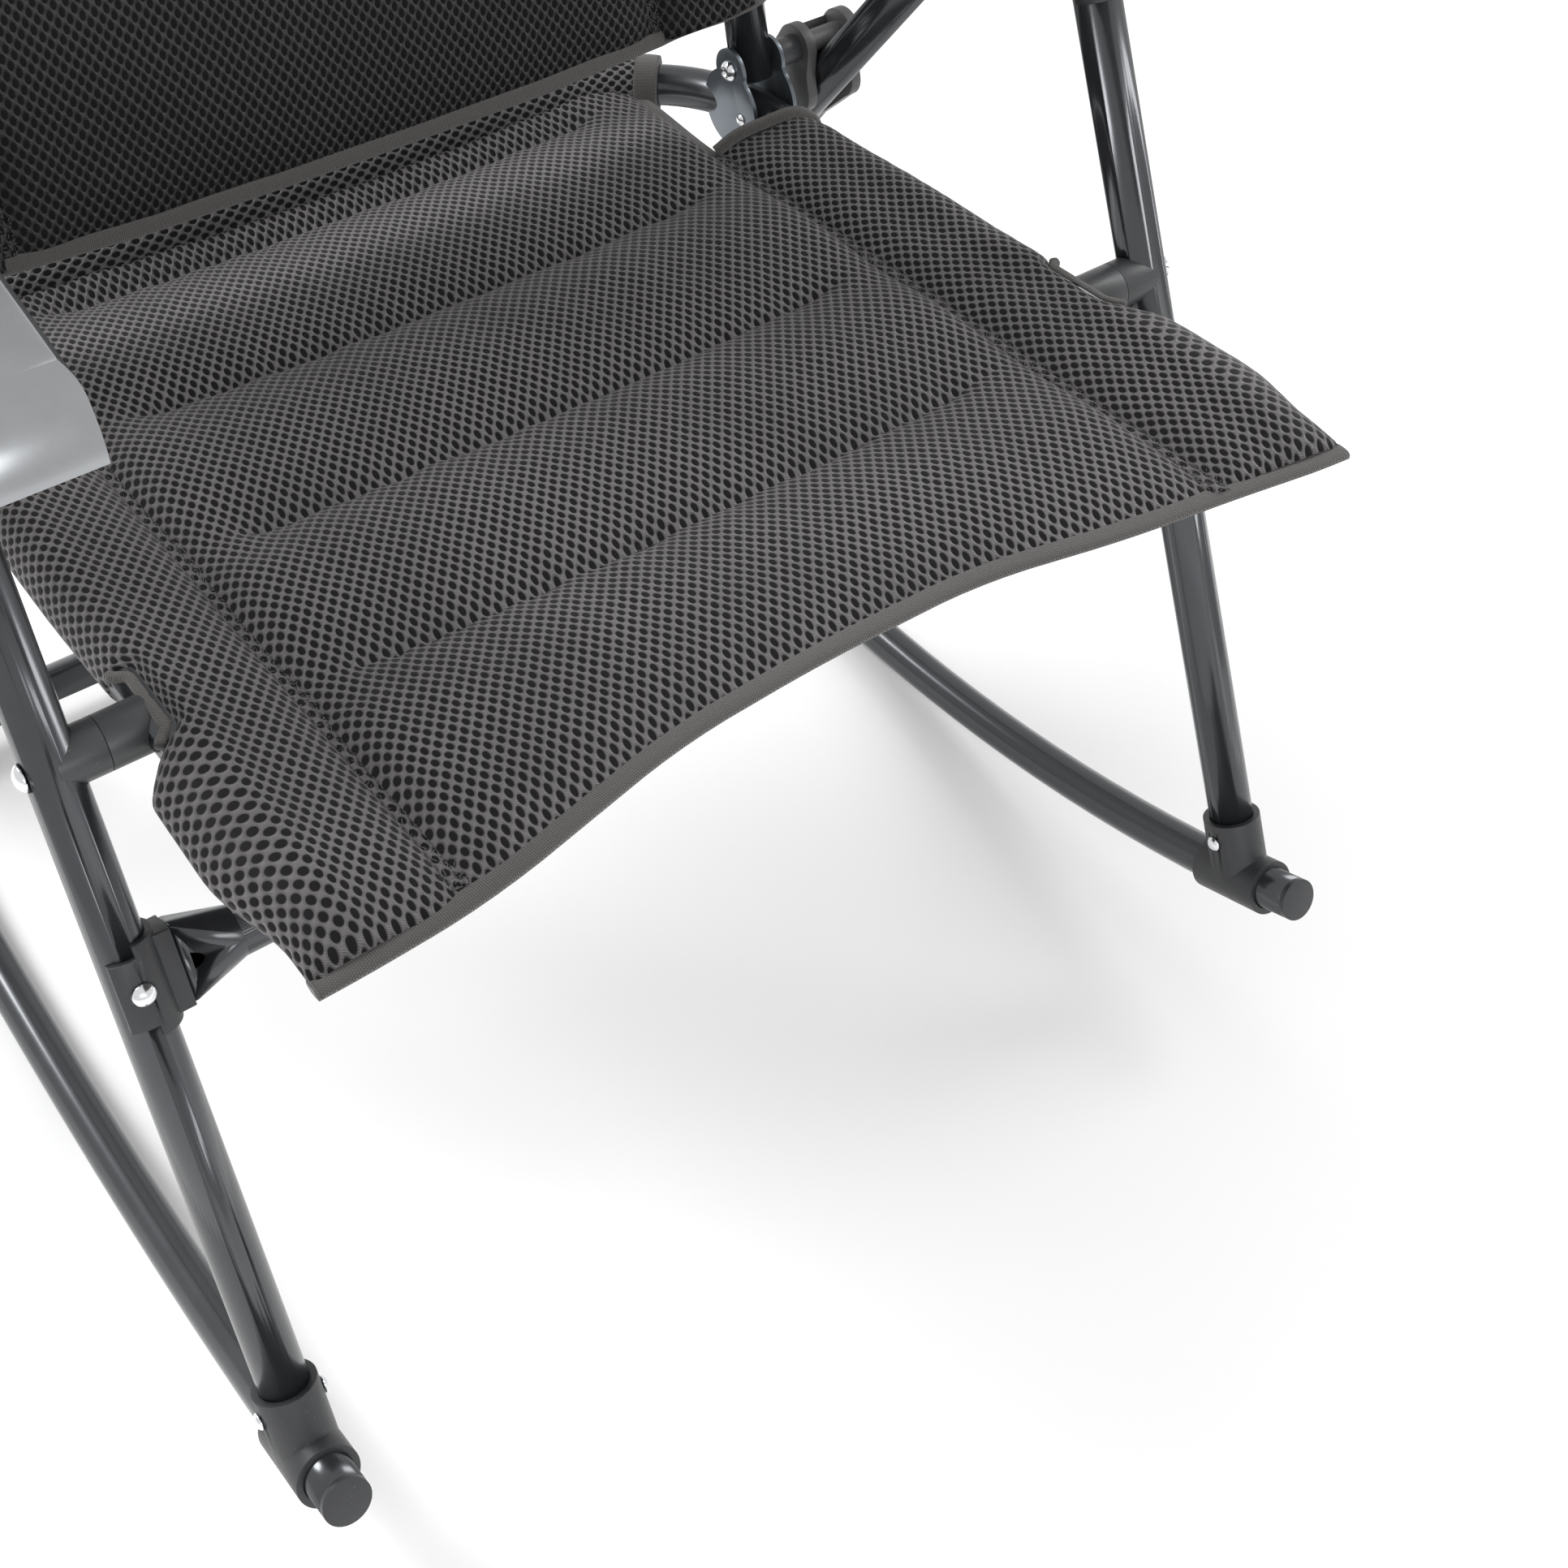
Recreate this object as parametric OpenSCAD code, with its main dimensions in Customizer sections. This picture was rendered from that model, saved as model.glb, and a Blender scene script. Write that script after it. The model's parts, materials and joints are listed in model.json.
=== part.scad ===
// Folding camp rocking chair with padded mesh seat and back
// +X is the sitter's left, -Y is the front, +Z is up; the origin is on the floor, mid-chair.

/* [Tubes] */
// Outer diameter of every frame tube
tube_d = 25; // [24:0.5:26]
// Wall thickness of the frame tubes
tube_wall = 1.5; // [1:0.1:2]
// Distance from the middle to the axis of a leg tube
leg_x = 312; // [308:1:320]
// Distance from the middle to the axis of a seat or back side tube
side_x = 260; // [258:1:262]

/* [Seat] */
// Y of the bolt that joins seat and back
hinge_y = 55; // [45:1:65]
// Height of the bolt that joins seat and back
hinge_z = 430; // [425:1:440]
// Height of that bolt above the seat tube's axis
hinge_rise = 28; // [27:0.5:30]
// Rise of the seat towards the front, in degrees
seat_slope = 5.6; // [4:0.1:8]
// Distance from the hinge forward to the pivot on the front leg
bush_reach = 278.6; // [276:0.2:284]
// Length of the straight seat tube in front of the hinge
seat_reach = 397; // [390:1:400]
// Radius of the seat tube's rear corners
seat_bend_r = 88; // [84:1:92]
// Half width of the middle seat panel, out to its seams
panel_half = 208; // [200:1:210]

/* [Back] */
// Lean of the back from upright, in degrees
back_lean = 17; // [15:0.5:19]
// Length of the back from its hinge to the top tube
back_len = 740; // [700:5:760]
// Radius of the back tube's top corners
back_bend_r = 75; // [65:1:90]
// Height up the back tube of the stud that holds the armrest
stud_up = 250; // [245:1:255]

/* [Legs] */
// Lean of the front legs from upright, in degrees
front_lean = 26.5; // [25.5:0.1:27]
// Lean of the rear legs from upright, in degrees
rear_lean = 34.3; // [34:0.1:35]
// Distance back from the seat hinge to the lower link pivot
link_back = 47.2; // [46:0.1:48]
// Distance down from the seat hinge to the lower link pivot
link_drop = 105; // [104:0.5:106]
// Length from the leg pivot to the end of the rear foot
rear_len = 600; // [596:1:602]
// Length from the leg pivot to the rear cross tube
rear_cross_at = 505; // [495:1:515]
// Distance down the front leg from the seat pivot to the cross tube
front_cross_at = 108; // [105:1:112]

/* [Runners] */
// Radius of the runners' rolling curve
rocker_r = 1000; // [950:10:1100]
// Half of the runners' length along the floor
rocker_half = 430; // [420:1:440]

/* [Armrests] */
// Width of an armrest
arm_w = 52; // [48:1:54]
// Length of an armrest in front of its pivot
arm_front = 182; // [175:1:190]
// Length of an armrest behind its pivot
arm_rear = 295; // [280:5:320]

/* [Hidden] */
$fn = 64;
soft_fn = 32;
bore_d = tube_d - 2 * tube_wall;
tube_r = tube_d / 2;
pin_d = 8;
pin_hole_d = pin_d + 0.1;
slip = 0.1;

// Seat hinge
plate_gap = tube_r + 0.6;
plate_t = 2.5;
lobe_r = 25;
lobe_z = 3;
rivet_y = -11;
bend_start = 8;
seat_rear = seat_bend_r - bend_start;
bush_d = 26;
bush_mid = (side_x + leg_x) / 2;

// Fabric
sleeve_wall = 3.2;
sleeve_r = tube_r + sleeve_wall;
sleeve_bore = tube_r + 0.3;
pad_t = 12;
wing_t = 10;
notch_y = -37;
sleeve_front = 450;
ring_angle = 48;
pad_rear = 52;
web_front = 53;
back_foot = 30;
top_web = 35;
back_panel_half = panel_half - 10;
sleeve_top = back_len - back_bend_r - 0.5;

// Link
link_t = 6.6;
link_gap = tube_r + 0.9;
link_out = link_gap + link_t;
link_r = 14.5;
link_foot_r = 16;
nut_af = 13;
nut_h = 6.2;
spacer_d = 17;

// Leg heads and arm cheeks
tongue_t = 10;
tongue_w = 20;
head_gap = tongue_t / 2 + 0.3;
head_t = 5.6;
cheek_t = 4;
cheek_gap = head_gap + head_t + 0.4;
head_r = 12;
front_head = 95;
rear_head = 110;
plug_len = 28;
collar_t = 5;

// Armrest
arm_base = 20;
arm_top = 40;
arm_lip = 10;
arm_wall = 3;
nose_r = 40;
edge_r = 9;
lug_y = 22;
stud_d = 12;
stud_boss_d = 20;

// Runners and feet
runner_r = rocker_r - tube_r;
runner_half_angle = asin(rocker_half / runner_r);
foot_gap = 18;
shoe_wall = 4;
shoe_len = 46;
shoe_slack = 0.35;
screw_in = 11;
cap_t = 4;
cup_floor = 8;
rail_y = 195;

function cross2(a, b) = a.x * b.y - a.y * b.x;

// Points and directions in the side view, as [y, z]
seat_base = [hinge_y - hinge_rise * sin(seat_slope), hinge_z - hinge_rise * cos(seat_slope)];
seat_pivot = seat_base + bush_reach * [-cos(seat_slope), sin(seat_slope)];
link_pivot = [hinge_y + link_back, hinge_z - link_drop];
front_up = [sin(front_lean), cos(front_lean)];
rear_up = [-sin(rear_lean), cos(rear_lean)];
apex_up = cross2(link_pivot - seat_pivot, rear_up) / cross2(front_up, rear_up);
apex = seat_pivot + apex_up * front_up;
link_at = norm(apex - link_pivot);
stud = [hinge_y, hinge_z] + stud_up * [sin(back_lean), cos(back_lean)];
arm_tilt = atan2(stud.y - apex.y, stud.x - apex.x);
stud_at = norm(stud - apex);

// Length from the leg pivot to the runner's axis, going down along a direction
function to_runner(d) =
    let (m = apex - [0, rocker_r], b = m * d)
    -b + sqrt(b * b - m * m + runner_r * runner_r);
front_foot = to_runner(-front_up);
rear_foot = to_runner(-rear_up);

// ---------- Local frames ----------
// Front leg: Z runs down the leg from the leg pivot, Y faces forward
module along_front(x = 0) translate([x, apex.x, apex.y]) rotate([180 - front_lean, 0, 0]) children();

// Rear leg: Z runs down the leg from the leg pivot, Y faces the way the foot folds
module along_rear(x = 0) translate([x, apex.x, apex.y]) rotate([rear_lean - 180, 0, 0]) children();

// Seat: Y runs back along the side tubes, Z is square to them, zero under the hinge
module along_seat() translate([0, seat_base.x, seat_base.y]) rotate([-seat_slope, 0, 0]) children();

// Back: Z runs up the side tubes from the hinge, Y faces the rear
module along_back() translate([0, hinge_y, hinge_z]) rotate([-back_lean, 0, 0]) children();

// Armrest: Y runs back from the leg pivot towards the stud
module along_arm(x = 0) translate([x, apex.x, apex.y]) rotate([arm_tilt, 0, 0]) children();

// Side view drawing, pushed out along X from x0 to x1
module side_slab(x0, x1) translate([x0, 0, 0]) rotate([90, 0, 90]) linear_extrude(x1 - x0) children();

module both() for (s = [-1, 1]) scale_x(s) children();
module scale_x(s) mirror([s < 0 ? 1 : 0, 0, 0]) children();

// Solid round bar along +X
module x_bar(x0, x1, d) translate([x0, 0, 0]) rotate([0, 90, 0]) cylinder(d = d, h = x1 - x0);

// Solid round bar along +Y
module y_bar(y0, y1, d) translate([0, y0, 0]) rotate([-90, 0, 0]) cylinder(d = d, h = y1 - y0);

module z_bar(z0, z1, d) translate([0, 0, z0]) cylinder(d = d, h = z1 - z0);

module ring2d(r_out, r_in) difference() { circle(r_out); circle(r_in); }

module z_tube(z0, z1) difference() {
    z_bar(z0, z1, tube_d);
    z_bar(z0 - 1, z1 + 1, bore_d);
}

module y_tube(y0, y1) translate([0, y0, 0]) rotate([-90, 0, 0]) z_tube(0, y1 - y0);

module x_tube(x0, x1) translate([x0, 0, 0]) rotate([0, 90, 0]) z_tube(0, x1 - x0);

// Low domed rivet head, its flat side down
module dome(d, h) {
    r = (d * d / 4 + h * h) / (2 * h);
    intersection() {
        translate([0, 0, h - r]) sphere(r);
        cylinder(d = d + 1, h = h);
    }
}

// Quarter bend in the XY plane from the +X side to the +Y side
module bend(r) rotate_extrude(angle = 90) translate([r, 0]) ring2d(tube_r, bore_d / 2);

// ---------- Stand: front legs and runners ----------
module front_leg(s) color("#4b4d50") scale_x(s) along_front(leg_x) difference() {
    z_tube(front_head, front_foot - foot_gap);
    translate([0, 0, apex_up]) x_bar(-20, 20, pin_hole_d);
    translate([0, 0, apex_up + front_cross_at]) y_bar(-20, 20, 6.1);
    translate([0, 0, front_foot - foot_gap - screw_in]) x_bar(-20, 20, 5.1);
}
module front_leg_left() front_leg(1);
module front_leg_right() front_leg(-1);

// Cross tube with flared, flattened ends that meet the saddles
module front_cross_tube() color("#45474a") along_front() translate([0, 0, apex_up + front_cross_at]) {
    x_tube(-262, 262);
    both() difference() {
        hull() {
            x_bar(262, 263, tube_d);
            translate([289, -7, -19]) cube([1.5, 14, 38]);
        }
        x_bar(261, 286, 18);
    }
}

// Plastic half collars between the front legs and the cross tube
module cross_saddles() color("#1d1e20") both() along_front(leg_x)
    translate([0, 0, apex_up + front_cross_at]) difference() {
        union() {
            intersection() {
                z_bar(-23, 23, tube_d + 7);
                translate([-30, -30, -23]) cube([28, 60, 46]);
            }
            intersection() {
                z_bar(-17, 17, tube_d + 7);
                translate([-30, 0, -17]) cube([40, 30, 34]);
            }
            translate([-21.2, -9, -20]) cube([8, 18, 40]);
        }
        z_bar(-30, 30, tube_d + 0.05);
        y_bar(-30, 30, 6.1);
        y_bar(-30, 0, 11.2);
    }

module cross_rivets() color("#d8dadc") both() along_front(leg_x)
    translate([0, 0, apex_up + front_cross_at]) {
        y_bar(-15, 16.2, 6);
        translate([0, 16, 0]) rotate([-90, 0, 0]) dome(12, 3.4);
        translate([0, -12.6, 0]) rotate([90, 0, 0]) dome(10, 2.6);
    }

// Plastic heads on the front legs, each a fork for the rear leg's tongue
module leg_heads() color("#232426") both() along_front(leg_x) difference() {
    union() {
        for (side = [-1, 1]) translate([side * (head_gap + head_t / 2), 0, 0]) {
            x_bar(-head_t / 2, head_t / 2, head_r * 2);
            translate([-head_t / 2, -head_r, 0]) cube([head_t, head_r * 2, front_head - collar_t]);
        }
        z_bar(front_head - collar_t, front_head, tube_d);
        z_bar(front_head - 1, front_head + plug_len, bore_d - slip);
    }
    x_bar(-20, 20, pin_hole_d);
}

module seat_pivot_rivets() color("#d8dadc") both() along_front(leg_x) translate([0, 0, apex_up]) {
    x_bar(side_x - leg_x - tube_r - 2, tube_r + 1, pin_d);
    translate([tube_r + 0.1, 0, 0]) rotate([0, 90, 0]) dome(14, 4.2);
    translate([side_x - leg_x - tube_r - 0.1, 0, 0]) rotate([0, -90, 0]) dome(12, 2.2);
}

// Spacer bush half against the leg, coped to the round tube
module outer_bushes() color("#2c2e31") both() along_front(leg_x) translate([0, 0, apex_up]) difference() {
    x_bar(bush_mid - leg_x + 3.5, 0, bush_d);
    z_bar(-20, 20, tube_d + 0.05);
    x_bar(bush_mid - leg_x - 10, 1, pin_hole_d);
}

module runner(s) color("#4b4d50") scale_x(s) translate([leg_x, 0, rocker_r]) rotate([90, 0, 90])
    rotate([0, 0, 270 - runner_half_angle]) rotate_extrude(angle = 2 * runner_half_angle, $fn = 240)
    translate([runner_r, 0]) ring2d(tube_r, bore_d / 2);
module runner_left() runner(1);
module runner_right() runner(-1);

// Moves onto the runner's axis at a given y, with Y along the runner
module on_runner(y) translate([0, 0, rocker_r]) rotate([asin(y / runner_r), 0, 0])
    translate([0, 0, -runner_r]) children();

module runner_caps() color("#17181a") both() for (e = [-1, 1])
    translate([leg_x, 0, rocker_r]) rotate([e * runner_half_angle, 0, 0]) translate([0, 0, -runner_r])
    rotate([e * -90, 0, 0]) {
        cylinder(d = tube_d, h = 3);
        translate([0, 0, -10]) cylinder(d = bore_d - 0.3, h = 10.5);
    }

// Tube that ties the two runners together near their rear ends, its ends coped to them
module runner_cross_tube() color("#4b4d50") on_runner(rail_y) difference() {
    x_tube(-leg_x, leg_x);
    both() translate([leg_x, 0, 0]) y_bar(-20, 20, tube_d + 2 * shoe_slack);
}

function foot_point(up, len) = apex - len * up;

// Plastic tee that clamps a leg's foot onto the runner
module shoe(up, len, frame_angle) {
    p = foot_point(up, len);
    difference() {
        union() {
            on_runner(p.x) y_bar(-shoe_len / 2, shoe_len / 2, tube_d + 2 * shoe_wall);
            translate([0, p.x, p.y]) rotate([frame_angle, 0, 0])
                z_bar(-foot_gap - shoe_len / 2, 0, tube_d + 2 * shoe_wall - 0.4);
        }
        on_runner(p.x) y_bar(-shoe_len, shoe_len, tube_d + 2 * shoe_slack);
        translate([0, p.x, p.y]) rotate([frame_angle, 0, 0]) {
            z_bar(-foot_gap - shoe_len, -foot_gap + 0.3, tube_d + 0.1);
            translate([0, 0, -foot_gap - screw_in]) x_bar(-30, 30, 5.1);
        }
    }
}

module front_shoes() color("#1d1e20") both() translate([leg_x, 0, 0])
    shoe(front_up, front_foot, 180 - front_lean);

module rear_shoes() color("#1d1e20") both() translate([leg_x, 0, 0])
    shoe(rear_up, rear_foot, rear_lean - 180);

// Short posts on the runners that carry the rear feet
module rear_posts() color("#4b4d50") both() along_rear(leg_x) difference() {
    z_tube(rear_len + cup_floor, rear_foot - foot_gap);
    translate([0, 0, rear_foot - foot_gap - screw_in]) x_bar(-30, 30, 5.1);
    translate([0, 0, rear_len + cup_floor + screw_in]) x_bar(-30, 30, 5.1);
}

// Plastic cups with a back wall and two cheeks, open to the front
module rear_cups() color("#1d1e20") both() along_rear(leg_x) difference() {
    union() {
        z_bar(rear_len + 0.4, rear_len + cup_floor + 24, tube_d + 8);
        translate([0, 0, rear_len - 26]) difference() {
            translate([-18, -18, 0]) cube([36, 34, 34]);
            translate([-13.6, -13.6, -1]) cube([27.2, 40, 27.4]);
        }
    }
    z_bar(rear_len + cup_floor - 0.3, rear_len + cup_floor + 30, tube_d + 0.1);
    translate([0, 0, rear_len + cup_floor + screw_in]) x_bar(-30, 30, 5.1);
}

// Screws through the shoes, the cups and the tubes that they hold
module shoe_bolts() color("#c9cbce") both() {
    along_front(leg_x) translate([0, 0, front_foot - foot_gap - screw_in]) shoe_bolt();
    along_rear(leg_x) translate([0, 0, rear_foot - foot_gap - screw_in]) shoe_bolt();
    along_rear(leg_x) translate([0, 0, rear_len + cup_floor + screw_in]) shoe_bolt();
}
module shoe_bolt() {
    reach = tube_r + shoe_wall;
    x_bar(-reach - 0.4, reach + 0.4, 5);
    for (e = [-1, 1]) translate([e * (reach + 0.05), 0, 0]) rotate([0, e * 90, 0]) dome(9.5, 3);
}

// ---------- Seat ----------
module seat_tube() color("#4b4d50") along_seat() {
    both() difference() {
        union() {
            translate([side_x, 0, 0]) y_tube(-seat_reach, -bend_start);
            translate([side_x - seat_bend_r, -bend_start, 0]) bend(seat_bend_r);
        }
        translate([side_x, -bush_reach, 0]) x_bar(-20, 20, pin_hole_d);
        translate([side_x, rivet_y, 0]) x_bar(-20, 20, 5.1);
    }
    translate([0, seat_rear, 0]) x_tube(seat_bend_r - side_x, side_x - seat_bend_r);
}

module seat_tube_plugs() color("#17181a") along_seat() both() translate([side_x, -seat_reach, 0]) {
    y_bar(-3, 0, tube_d);
    y_bar(-1, 16, bore_d - slip);
}

// Pear-shaped outline of a hinge plate in the side view
module plate_outline() {
    translate([0, hinge_rise]) circle(13.5);
    translate([0, lobe_z]) circle(lobe_r);
    polygon([[-13.4, hinge_rise - 2], [0, hinge_rise], [15, 21], [0, lobe_z], [-24.6, lobe_z + 4]]);
}

module hinge_plates(s) color("#50565e") along_seat() scale_x(s) difference() {
    for (x = [side_x - plate_gap - plate_t, side_x + plate_gap]) side_slab(x, x + plate_t) difference() {
        plate_outline();
        translate([0, hinge_rise]) circle(d = pin_hole_d);
        translate([rivet_y, 0]) circle(d = 5.1);
    }
    translate([side_x - seat_bend_r, -bend_start, 0])
        rotate_extrude(angle = 90) translate([seat_bend_r, 0]) circle(tube_r + 0.05);
}
module hinge_plates_left() hinge_plates(1);
module hinge_plates_right() hinge_plates(-1);

module plate_rivets() color("#d8dadc") along_seat() both() translate([side_x, rivet_y, 0]) {
    reach = plate_gap + plate_t;
    x_bar(-reach - 0.5, reach + 0.5, 5);
    translate([-reach - 0.02, 0, 0]) rotate([0, -90, 0]) dome(8, 2.2);
    translate([reach + 0.02, 0, 0]) rotate([0, 90, 0]) dome(7, 0.6);
}

// Spacer bush half against the seat tube, coped to it
module inner_bushes() color("#2c2e31") along_seat() both() translate([0, -bush_reach, 0]) difference() {
    x_bar(side_x + 3, bush_mid + 3.2, bush_d);
    translate([side_x, 0, 0]) y_bar(-20, 20, tube_d + 0.05);
    x_bar(side_x, bush_mid + 10, pin_hole_d);
}

// Middle seat panel
module seat_pad() color("#3c3c3e") along_seat()
    translate([-panel_half + 0.5, -sleeve_front + 36, -pad_t / 2 - 2])
    cube([2 * panel_half - 1, sleeve_front - 36 + pad_rear, pad_t]);

// Sleeve over one side tube with its flat wing, cut out round the bush
module seat_sleeve(s) color("#3c3c3e") along_seat() scale_x(s) difference() {
    union() {
        translate([side_x, 0, 0]) y_bar(-sleeve_front + 30, notch_y, sleeve_r * 2);
        translate([panel_half + 0.5, -sleeve_front, -wing_t / 2 - 1])
            cube([side_x - panel_half, sleeve_front + notch_y, wing_t]);
        translate([side_x - 6, -sleeve_front, -wing_t / 2]) cube([20, 60, wing_t - 6]);
    }
    translate([side_x, 0, 0]) y_bar(-seat_reach - 4, 10, sleeve_bore * 2);
    translate([side_x + 2, -bush_reach, 0]) x_bar(0, 30, bush_d + 8);
    translate([side_x, -bush_reach, 0]) x_bar(-sleeve_r - 2, 0, 16);
}
module seat_sleeve_left() seat_sleeve(1);
module seat_sleeve_right() seat_sleeve(-1);

// Sleeve over the rear of the seat tube, with the web that joins it to the panel
module seat_rear_sleeve() color("#3c3c3e") along_seat() {
    straight = side_x - seat_bend_r;
    both() translate([straight, -bend_start, 0]) rotate([0, 0, ring_angle])
        rotate_extrude(angle = 90 - ring_angle) translate([seat_bend_r, 0]) ring2d(sleeve_r, sleeve_bore);
    difference() {
        union() {
            translate([0, seat_rear, 0]) x_bar(-straight, straight, sleeve_r * 2);
            translate([1 - straight, web_front, -wing_t / 2])
                cube([2 * straight - 2, seat_rear - web_front, wing_t]);
        }
        translate([0, seat_rear, 0]) x_bar(-straight - 1, straight + 1, sleeve_bore * 2);
    }
}

// ---------- Pivot of seat and back ----------
module hinge_bolts() color("#c9cbce") both() translate([side_x, hinge_y, hinge_z]) {
    reach = plate_gap + plate_t;
    x_bar(-reach - 1, reach + 0.1, pin_d);
    translate([-reach - 0.1, 0, 0]) rotate([0, -90, 0]) difference() {
        dome(13.5, 4.6);
        translate([0, 0, 2.2]) cylinder(d = 5.8, h = 4, $fn = 6);
    }
}

// ---------- Back ----------
module back_tube() color("#4b4d50") along_back() {
    both() {
        translate([side_x, 0, 0]) difference() {
            z_tube(-8, back_len - back_bend_r);
            x_bar(-20, 20, pin_hole_d);
            translate([0, 0, stud_up]) x_bar(0, 20, 8.1);
        }
        translate([side_x - back_bend_r, 0, back_len - back_bend_r]) rotate([90, 0, 0])
            bend(back_bend_r);
    }
    translate([0, 0, back_len]) x_tube(back_bend_r - side_x, side_x - back_bend_r);
}

module back_end_plugs() color("#17181a") along_back() both() translate([side_x, 0, 0]) difference() {
    union() {
        z_bar(-9.2, -7.5, bore_d - slip);
        z_bar(-8, 14, bore_d - slip);
    }
    x_bar(-20, 20, pin_hole_d);
}

module back_pad() color("#2b2b2d") along_back()
    translate([-back_panel_half + 0.5, -pad_t / 2 - 2, back_foot])
    cube([2 * back_panel_half - 1, pad_t, back_len - back_foot - top_web - 1]);

// Sleeve over one side tube of the back, cut out round the armrest stud
module back_sleeve(s) color("#2b2b2d") along_back() scale_x(s) difference() {
    union() {
        translate([side_x, 0, 0]) z_bar(back_foot, sleeve_top, sleeve_r * 2);
        translate([back_panel_half + 0.5, -wing_t / 2 - 1, back_foot])
            cube([side_x - back_panel_half, wing_t, sleeve_top - back_foot]);
    }
    translate([side_x, 0, 0]) z_bar(0, back_len, sleeve_bore * 2);
    translate([side_x + 2, 0, stud_up]) x_bar(0, 30, 24);
}
module back_sleeve_left() back_sleeve(1);
module back_sleeve_right() back_sleeve(-1);

module back_top_sleeve() color("#2b2b2d") along_back() {
    straight = side_x - back_bend_r;
    both() translate([straight, 0, back_len - back_bend_r]) rotate([90, 0, 0])
        rotate_extrude(angle = 90) translate([back_bend_r, 0]) ring2d(sleeve_r, sleeve_bore);
    difference() {
        union() {
            translate([0, 0, back_len]) x_bar(-straight, straight, sleeve_r * 2);
            translate([1 - straight, -wing_t / 2, back_len - top_web])
                cube([2 * straight - 2, wing_t, top_web]);
        }
        translate([0, 0, back_len]) x_bar(-straight - 1, straight + 1, sleeve_bore * 2);
    }
}

// Plastic studs on the back tube that the armrests pivot on
module arm_studs() color("#232426") along_back() both() translate([side_x, 0, stud_up]) difference() {
    union() {
        x_bar(0, tube_r + 11, stud_boss_d);
        x_bar(tube_r + 10, leg_x - side_x - cheek_gap - cheek_t - 0.3, stud_d);
    }
    z_bar(-20, 20, tube_d + 0.05);
}

// ---------- Rear legs ----------
module rear_leg(s) color("#4b4d50") scale_x(s) along_rear(leg_x) difference() {
    z_tube(rear_head, rear_len - cap_t);
    translate([0, 0, link_at]) x_bar(-20, 20, pin_hole_d);
}
module rear_leg_left() rear_leg(1);
module rear_leg_right() rear_leg(-1);

module rear_cross_tube() color("#4b4d50") along_rear() translate([0, 0, rear_cross_at]) difference() {
    x_tube(-leg_x, leg_x);
    both() translate([leg_x, 0, 0]) z_bar(-20, 20, tube_d + 0.05);
}

module rear_leg_heads() color("#232426") both() along_rear(leg_x) difference() {
    union() {
        x_bar(-tongue_t / 2, tongue_t / 2, tongue_w);
        translate([-tongue_t / 2, -tongue_w / 2, 0]) cube([tongue_t, tongue_w, rear_head - 1]);
        z_bar(rear_head - collar_t + 1, rear_head, tube_d);
        z_bar(rear_head - 1, rear_head + plug_len, bore_d - slip);
    }
    x_bar(-20, 20, pin_hole_d);
}

module rear_foot_caps() color("#17181a") both() along_rear(leg_x) {
    z_bar(rear_len - cap_t, rear_len, tube_d);
    z_bar(rear_len - cap_t - 18, rear_len - cap_t + 1, bore_d - slip);
}

// ---------- Links ----------
// Outline of a link in the side view, from the seat hinge down to the rear leg
module link_outline() {
    circle(link_r);
    translate([link_back, -link_drop]) circle(link_foot_r);
    translate([-5.6, -28]) circle(13);
    polygon([
        [13.1, 6.2], [26, -19], [38.4, -47], [49.5, -74], [62.6, -100.5], [47, -112], [32.4, -111],
        [29, -97], [22, -82], [11, -65], [-1, -52], [-13.6, -38], [-18.5, -26], [-14.5, -13], [-14.4, 1.6]
    ]);
}

module link_web_outline() polygon([[12.6, 5.4], [36.8, -44], [30, -50], [5.5, -13]]);

module at_hinge() translate([leg_x, hinge_y, hinge_z]) children();

module link(s) color("#2f3133") scale_x(s) at_hinge() difference() {
    union() {
        side_slab(-link_out, -link_gap) link_outline();
        side_slab(link_gap, link_out) link_outline();
        side_slab(-link_gap - 1, link_gap + 1) link_web_outline();
        x_bar(-link_gap - 1, link_gap + 1, 14);
    }
    x_bar(-30, 30, pin_hole_d);
    translate([0, link_back, -link_drop]) x_bar(-30, 30, pin_hole_d);
    translate([link_out - 5, 0, 0]) rotate([0, 90, 0]) rotate([0, 0, 30])
        cylinder(d = (nut_af + 0.4) / cos(30), h = 10, $fn = 6);
}
module link_left() link(1);
module link_right() link(-1);

module link_rivets() color("#d8dadc") both() at_hinge() translate([0, link_back, -link_drop]) {
    x_bar(-link_out - 1, link_out + 1, pin_d);
    translate([link_out + 0.1, 0, 0]) rotate([0, 90, 0]) dome(12.4, 3.4);
    translate([-link_out - 0.1, 0, 0]) rotate([0, -90, 0]) dome(12.4, 3.4);
}

// Outer part of the hinge bolt, which carries the spacer, the link and the nut
module link_bolts() color("#c9cbce") both() at_hinge()
    x_bar(side_x - leg_x + plate_gap + plate_t + 0.3, link_out + 1.6, pin_d);

module link_nuts() color("#c9cbce") both() at_hinge() translate([link_out - 4.9, 0, 0]) difference() {
    union() {
        rotate([0, 90, 0]) rotate([0, 0, 30]) cylinder(d = nut_af / cos(30), h = nut_h - 2, $fn = 6);
        x_bar(0, nut_h, 11);
    }
    x_bar(-1, nut_h + 1, pin_d + 0.02);
}

module link_spacers() color("#1d1e20") both() at_hinge() difference() {
    x_bar(side_x - leg_x + plate_gap + plate_t + 0.3, -link_out - 0.05, spacer_d);
    x_bar(-60, 0, pin_hole_d);
}

// ---------- Armrests ----------
module arm_pivot_pins() color("#c9cbce") both() along_arm(leg_x) {
    reach = cheek_gap + cheek_t;
    x_bar(-reach - 0.5, reach + 0.5, pin_d);
    for (e = [-1, 1]) translate([e * (reach + 0.05), 0, 0]) rotate([0, e * 90, 0]) dome(13, 3);
}

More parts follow.
